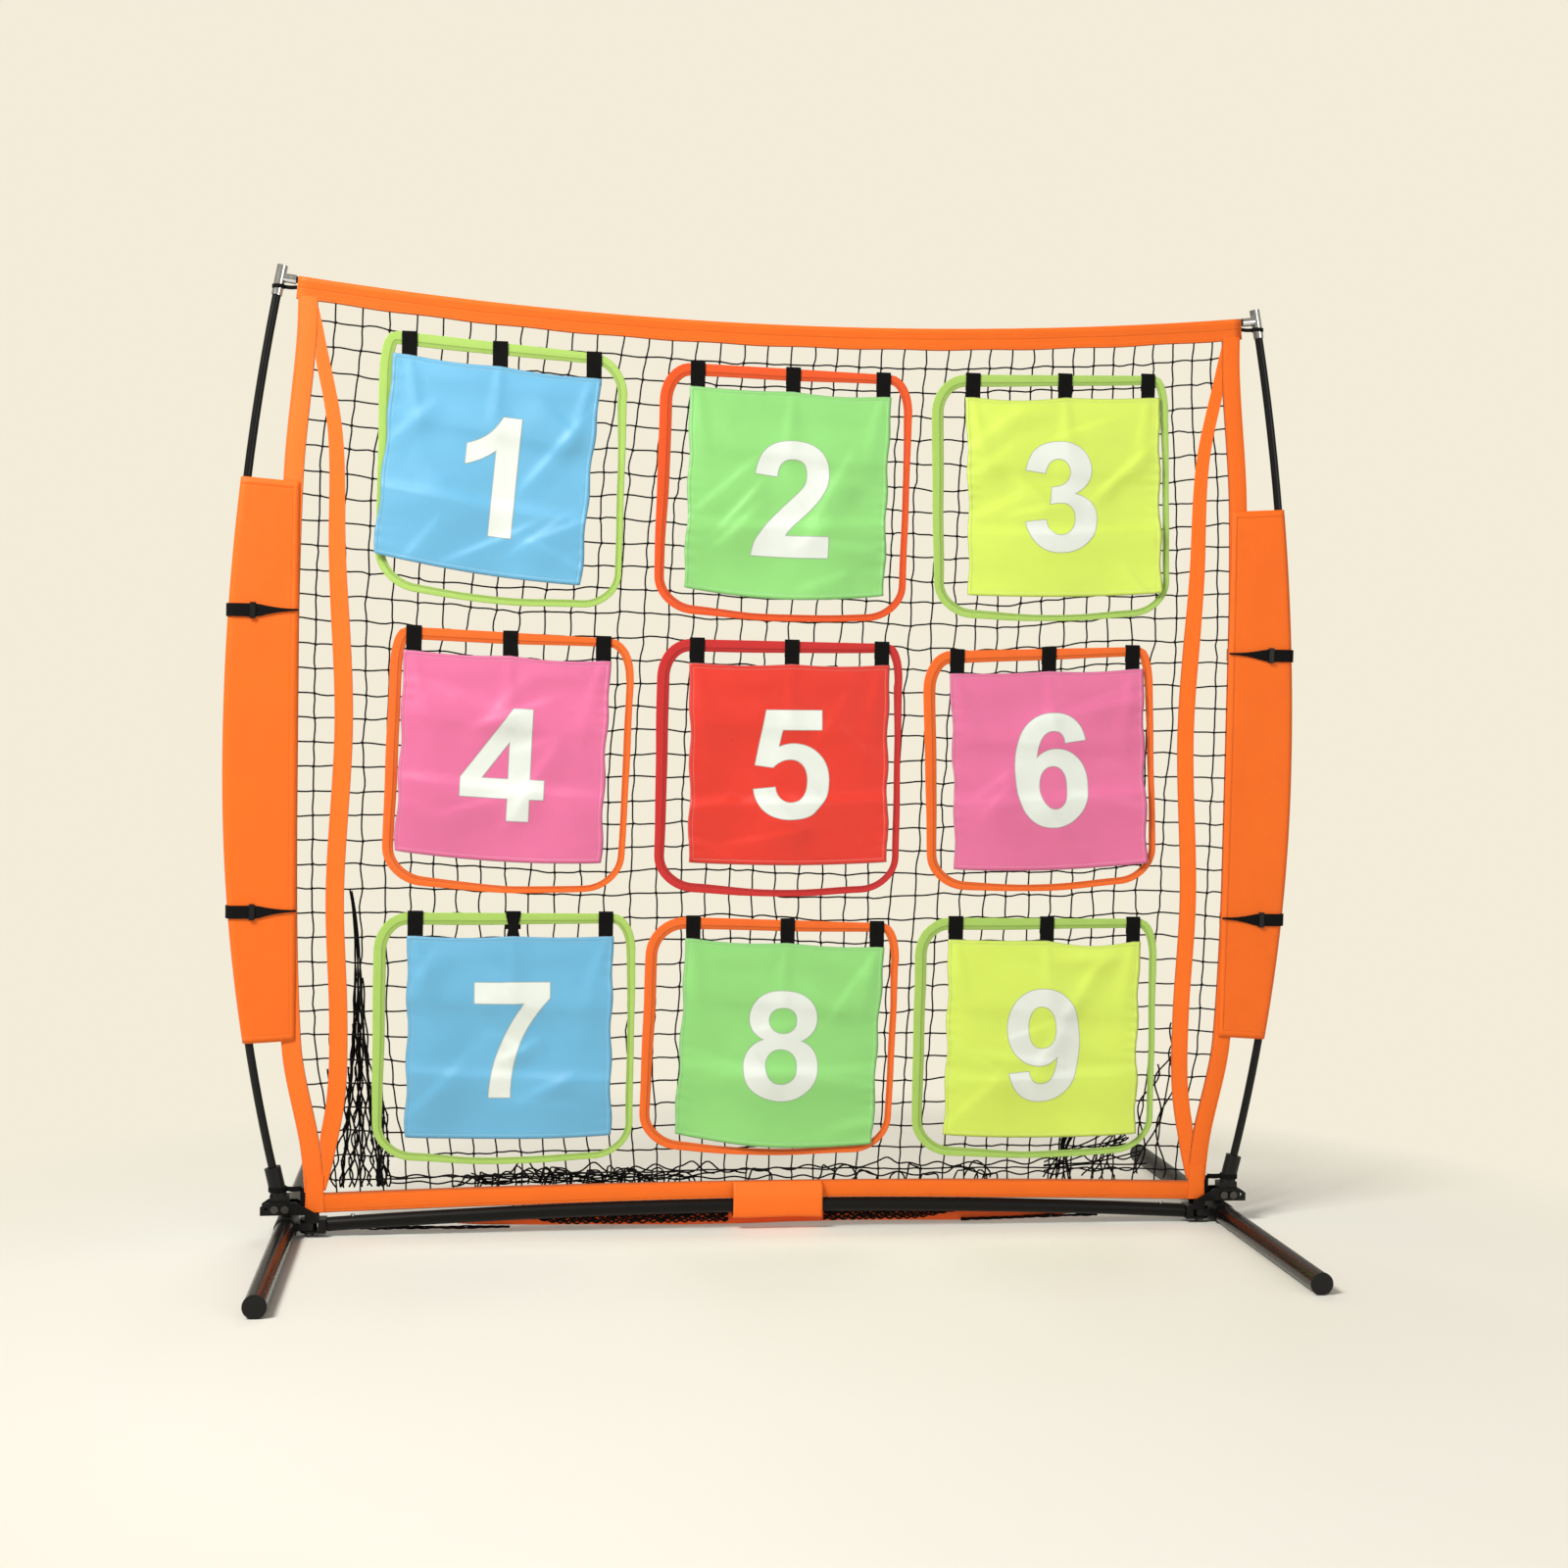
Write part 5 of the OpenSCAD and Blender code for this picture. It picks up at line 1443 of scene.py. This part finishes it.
def number_mesh(n, grow):
    """A number's flat shape, filled and cut up small enough to follow the cloth."""
    loops = [traced(text) for text in NUMBERS[6 if n == 9 else n]]
    if n == 9:
        loops = [np.array([112, 145]) - p for p in loops]
    every = np.concatenate(loops)
    middle = (every.min(0) + every.max(0)) / 2
    curve = bpy.data.curves.new("number", "CURVE")
    curve.dimensions, curve.fill_mode, curve.offset = "2D", "BOTH", grow
    for points in loops:
        spline = curve.splines.new("POLY")
        spline.points.add(len(points) - 1)
        flat = (points - middle) * NUMBER_H / GRID_H
        spline.points.foreach_set("co", np.c_[flat, 0 * flat[:, 0], 1 + 0 * flat[:, 0]].ravel())
        spline.use_cyclic_u = True
    drawn = placed("number", curve)
    bpy.context.view_layer.update()
    mesh = bpy.data.meshes.new_from_object(
        drawn.evaluated_get(bpy.context.evaluated_depsgraph_get())
    )
    bpy.data.objects.remove(drawn)
    work = bmesh.new()
    work.from_mesh(mesh)
    for axis, reach in ((0, 66), (1, 96)):
        for at in np.arange(-reach, reach + 1, 4):
            cut, normal = [0, 0, 0], [0, 0, 0]
            cut[axis], normal[axis] = at, 1
            bmesh.ops.bisect_plane(
                work, geom=work.verts[:] + work.edges[:] + work.faces[:], plane_co=cut, plane_no=normal
            )
    bmesh.ops.remove_doubles(work, verts=work.verts[:], dist=0.01)
    work.verts.ensure_lookup_table()
    points = np.array([v.co[:] for v in work.verts])
    faces = [[v.index for v in f.verts] for f in work.faces]
    work.free()
    bpy.data.meshes.remove(mesh)
    return points, faces


def printed(n, word, grow, lift, look):
    """A number laid on its flap's cloth, lift millimetres in front of it."""
    flat, faces = number_mesh(n, grow)
    across, down, tall = NUMBER_AT[n]
    u = across + flat[:, 0] / FLAP_W
    v = down - tall * flat[:, 1] / FLAP_H
    e = 0.004
    at = flap_surface(n, u, v)
    side = flap_surface(n, u + e, v) - flap_surface(n, u - e, v)
    fall = flap_surface(n, u, v + e) - flap_surface(n, u, v - e)
    normal = unit(np.cross(side, fall))
    normal *= -np.sign(normal[:, 1:2])
    points = hang(n, at + normal * (FLAP_T / 2 + lift))
    a, b, c = (points[faces[0][k]] for k in range(3))
    if np.cross(b - a, c - a)[1] > 0:
        faces = [f[::-1] for f in faces]
    return make(f"number_{n}_{word}", f"target_flap_{n}", points, faces, look)


def flap(n):
    fine = 76
    u, v = linspace(-0.5, 0.5, fine), linspace(0, 1, fine)
    grid = hang(n, flap_surface(n, *np.meshgrid(u, v)))
    shape = cloth_sheet(Shape(), grid, FLAP_T, u * FLAP_W, v * FLAP_H)
    piece = shape.piece(f"flap_{n}_cloth", f"target_flap_{n}", flap_looks[FLAP_TONES[n - 1]])
    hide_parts(f"flap_{n}")
    prints = [printed(n, "edge", 1.1, 0.3, grey_ink), printed(n, "print", 0, 0.5, white_ink)]


for n in range(1, 10):
    flap(n)

# ---- Materials of the frame ----

leg_paint = painted("leg_paint", "0D0605", 0.26, coat=0.25)
bar_paint = painted("bar_paint", "070605", 0.42, coat=0)
pole_paint = painted("pole_resin", "090808", 0.38, coat=0.15)
bracket_paint = painted("bracket_paint", "070706", 0.42, coat=0.1)
cap_plastic = moulded("cap_plastic", "0A0807", 0.45)
joint_plastic = moulded("joint_plastic", "080808", 0.42)
keeper_plastic = moulded("keeper_plastic", "0C0C0C", 0.4)
bolt_steel = metal("bolt_steel", "5A5856", 0.32)
button_steel = metal("button_steel", "C9C9C8", 0.2)
tee_chrome = metal("tee_plating", "D9DADB", 0.12, brushed=(1, 1, 0.15))
ferrule_steel = metal("ferrule_steel", "2A2928", 0.35)

FRAME_LOOKS = {
    leg_paint: ["left_leg_tube", "right_leg_tube"],
    cap_plastic: ["left_leg_caps", "right_leg_caps"],
    bracket_paint: ["left_corner_bracket", "right_corner_bracket"],
    joint_plastic: ["left_leg_saddle", "right_leg_saddle", "left_pole_socket", "right_pole_socket"],
    bolt_steel: ["swivel_bolts", "socket_bolts"],
    bar_paint: ["left_crossbar", "right_crossbar", "crossbar_joiner"],
    button_steel: ["left_snap_button", "right_snap_button"],
    pole_paint: [
        "left_lower_pole", "left_upper_pole", "right_lower_pole", "right_upper_pole", "top_rod"
    ],
    ferrule_steel: ["pole_ferrules"],
    tee_chrome: ["pole_tees"],
    keeper_plastic: [
        "left_lower_keeper", "left_upper_keeper", "right_lower_keeper", "right_upper_keeper"
    ],
}
for look, names in FRAME_LOOKS.items():
    for name in names:
        for slot in nodes[name].material_slots:
            slot.material = look.mat

# ---- Floor, light and camera ----

CREAM = linear("E3E0D3")
WALL = linear("F3ECD9")
EYE = (-0.4353, -3.2273, 0.8404)


def floor():
    """A pale floor that fades into the backdrop's colour away from the object."""
    reach = 40000
    rings = [0, 500, 1000, 2000, 4000, 8000, 16000, reach]
    turn = 2 * pi * np.arange(64) / 64
    points = np.array(
        [(r * math.cos(a), r * math.sin(a), 0) for r in rings[1:] for a in turn] + [(0, 0, 0)]
    )
    faces = [(k, (k + 1) % 64, len(points) - 1) for k in range(64)]
    for ring in range(len(rings) - 2):
        for k in range(64):
            q = (k + 1) % 64
            faces.append((ring * 64 + k, (ring + 1) * 64 + k, (ring + 1) * 64 + q, ring * 64 + q))
    mesh = bpy.data.meshes.new("floor")
    mesh.from_pydata((points * MM).tolist(), [], faces)
    piece = placed("floor", mesh)
    look = Look("floor_paper", Roughness=0.9)
    place = look.add("ShaderNodeSeparateXYZ", {0: look.place}).outputs
    # Painted light: the floor's colour runs darker on the left and lighter on the right, to even out the key lamp's
    # falloff.
    tone = look.mix(look.span(place[0], -1.2, 1.2), scaled(CREAM, 0.9), scaled(CREAM, 1.1))
    look.colour(look.mix(look.times(look.noise(0.8, 3), 0.1), tone, scaled(CREAM, 0.85)))
    look.bump(look.noise(240, 2), 0.0001)
    ahead = look.add("ShaderNodeVectorMath", {0: look.place, 1: (0, 0.4, 0)}, operation="ADD").outputs[
        0
    ]
    radius = look.add("ShaderNodeVectorMath", {0: ahead}, operation="LENGTH").outputs["Value"]
    seen = look.add("ShaderNodeLightPath").outputs["Is Camera Ray"]
    behind = look.span(place[1], 0.05, 0.4, 0.0, 0.55)
    share = look.times(look.math("MAXIMUM", look.span(radius, 0.95, 1.6), behind), seen)
    glow = look.add("ShaderNodeEmission", {"Color": WALL, "Strength": 1.0})
    both = look.add("ShaderNodeMixShader", {0: share})
    out = next(n for n in look.tree.nodes if n.type == "OUTPUT_MATERIAL")
    look.tree.links.new(look.shader.outputs[0], both.inputs[1])
    look.tree.links.new(glow.outputs[0], both.inputs[2])
    look.tree.links.new(both.outputs[0], out.inputs["Surface"])
    mesh.materials.append(look.mat)


floor()


def world():
    """Even light from all round, and the backdrop's colour where it is seen."""
    made = bpy.data.worlds.new("studio")
    bpy.context.scene.world = made
    made.use_nodes = True
    tree = made.node_tree
    light = next(n for n in tree.nodes if n.type == "BACKGROUND")
    light.inputs["Color"].default_value = (1, 0.99, 0.97, 1)
    light.inputs["Strength"].default_value = 0.24
    ways = tree.nodes.new("ShaderNodeLightPath")
    before = light
    for ray, strength in (("Is Glossy Ray", 0.45), ("Is Camera Ray", 1)):
        wall = tree.nodes.new("ShaderNodeBackground")
        wall.inputs["Color"].default_value = WALL
        wall.inputs["Strength"].default_value = strength
        both = tree.nodes.new("ShaderNodeMixShader")
        tree.links.new(ways.outputs[ray], both.inputs[0])
        tree.links.new(before.outputs[0], both.inputs[1])
        tree.links.new(wall.outputs[0], both.inputs[2])
        before = both
    out = next(n for n in tree.nodes if n.type == "OUTPUT_WORLD")
    tree.links.new(before.outputs[0], out.inputs["Surface"])


world()


def lamp(name, place, aim, size, watts):
    data = bpy.data.lights.new(name, "AREA")
    data.shape, data.size, data.size_y, data.energy = "RECTANGLE", size, size * 0.75, watts
    made = placed(name, data)
    made.location = place
    way = np.array(aim, float) - place
    made.rotation_mode = "QUATERNION"
    made.rotation_quaternion = Vector(way).to_track_quat("-Z", "Y")


lamp("key", (-2.6, -2.2, 3.7), (0, 0, 0.7), 1.6, 250)
lamp("fill", (2.4, -3.4, 1.5), (0, 0, 0.7), 2.0, 30)
lamp("rear", (0.6, 3.0, 3.2), (0, 0, 0.7), 2.4, 45)


def camera():
    """The camera of the photograph: turned, tipped down and rolled a little."""
    turn, tip, roll = (math.radians(a) for a in (7.92, 2.287, 1.053))
    ahead = np.array(
        [math.sin(turn) * math.cos(tip), math.cos(turn) * math.cos(tip), -math.sin(tip)]
    )
    right = np.array([math.cos(turn), -math.sin(turn), 0])
    up = np.cross(right, ahead)
    x = right * math.cos(roll) + up * math.sin(roll)
    y = -right * math.sin(roll) + up * math.cos(roll)
    data = bpy.data.cameras.new("camera")
    data.sensor_width, data.lens = 36, 47.25
    data.clip_start, data.clip_end = 0.05, 100
    made = placed("camera", data)
    axes = stack([x, y, -ahead], 1)
    whole = np.eye(4)
    whole[:3, :3], whole[:3, 3] = axes, EYE
    made.matrix_world = Matrix(whole.tolist())
    bpy.context.scene.camera = made


camera()
bpy.context.scene.view_settings.view_transform = "Standard"
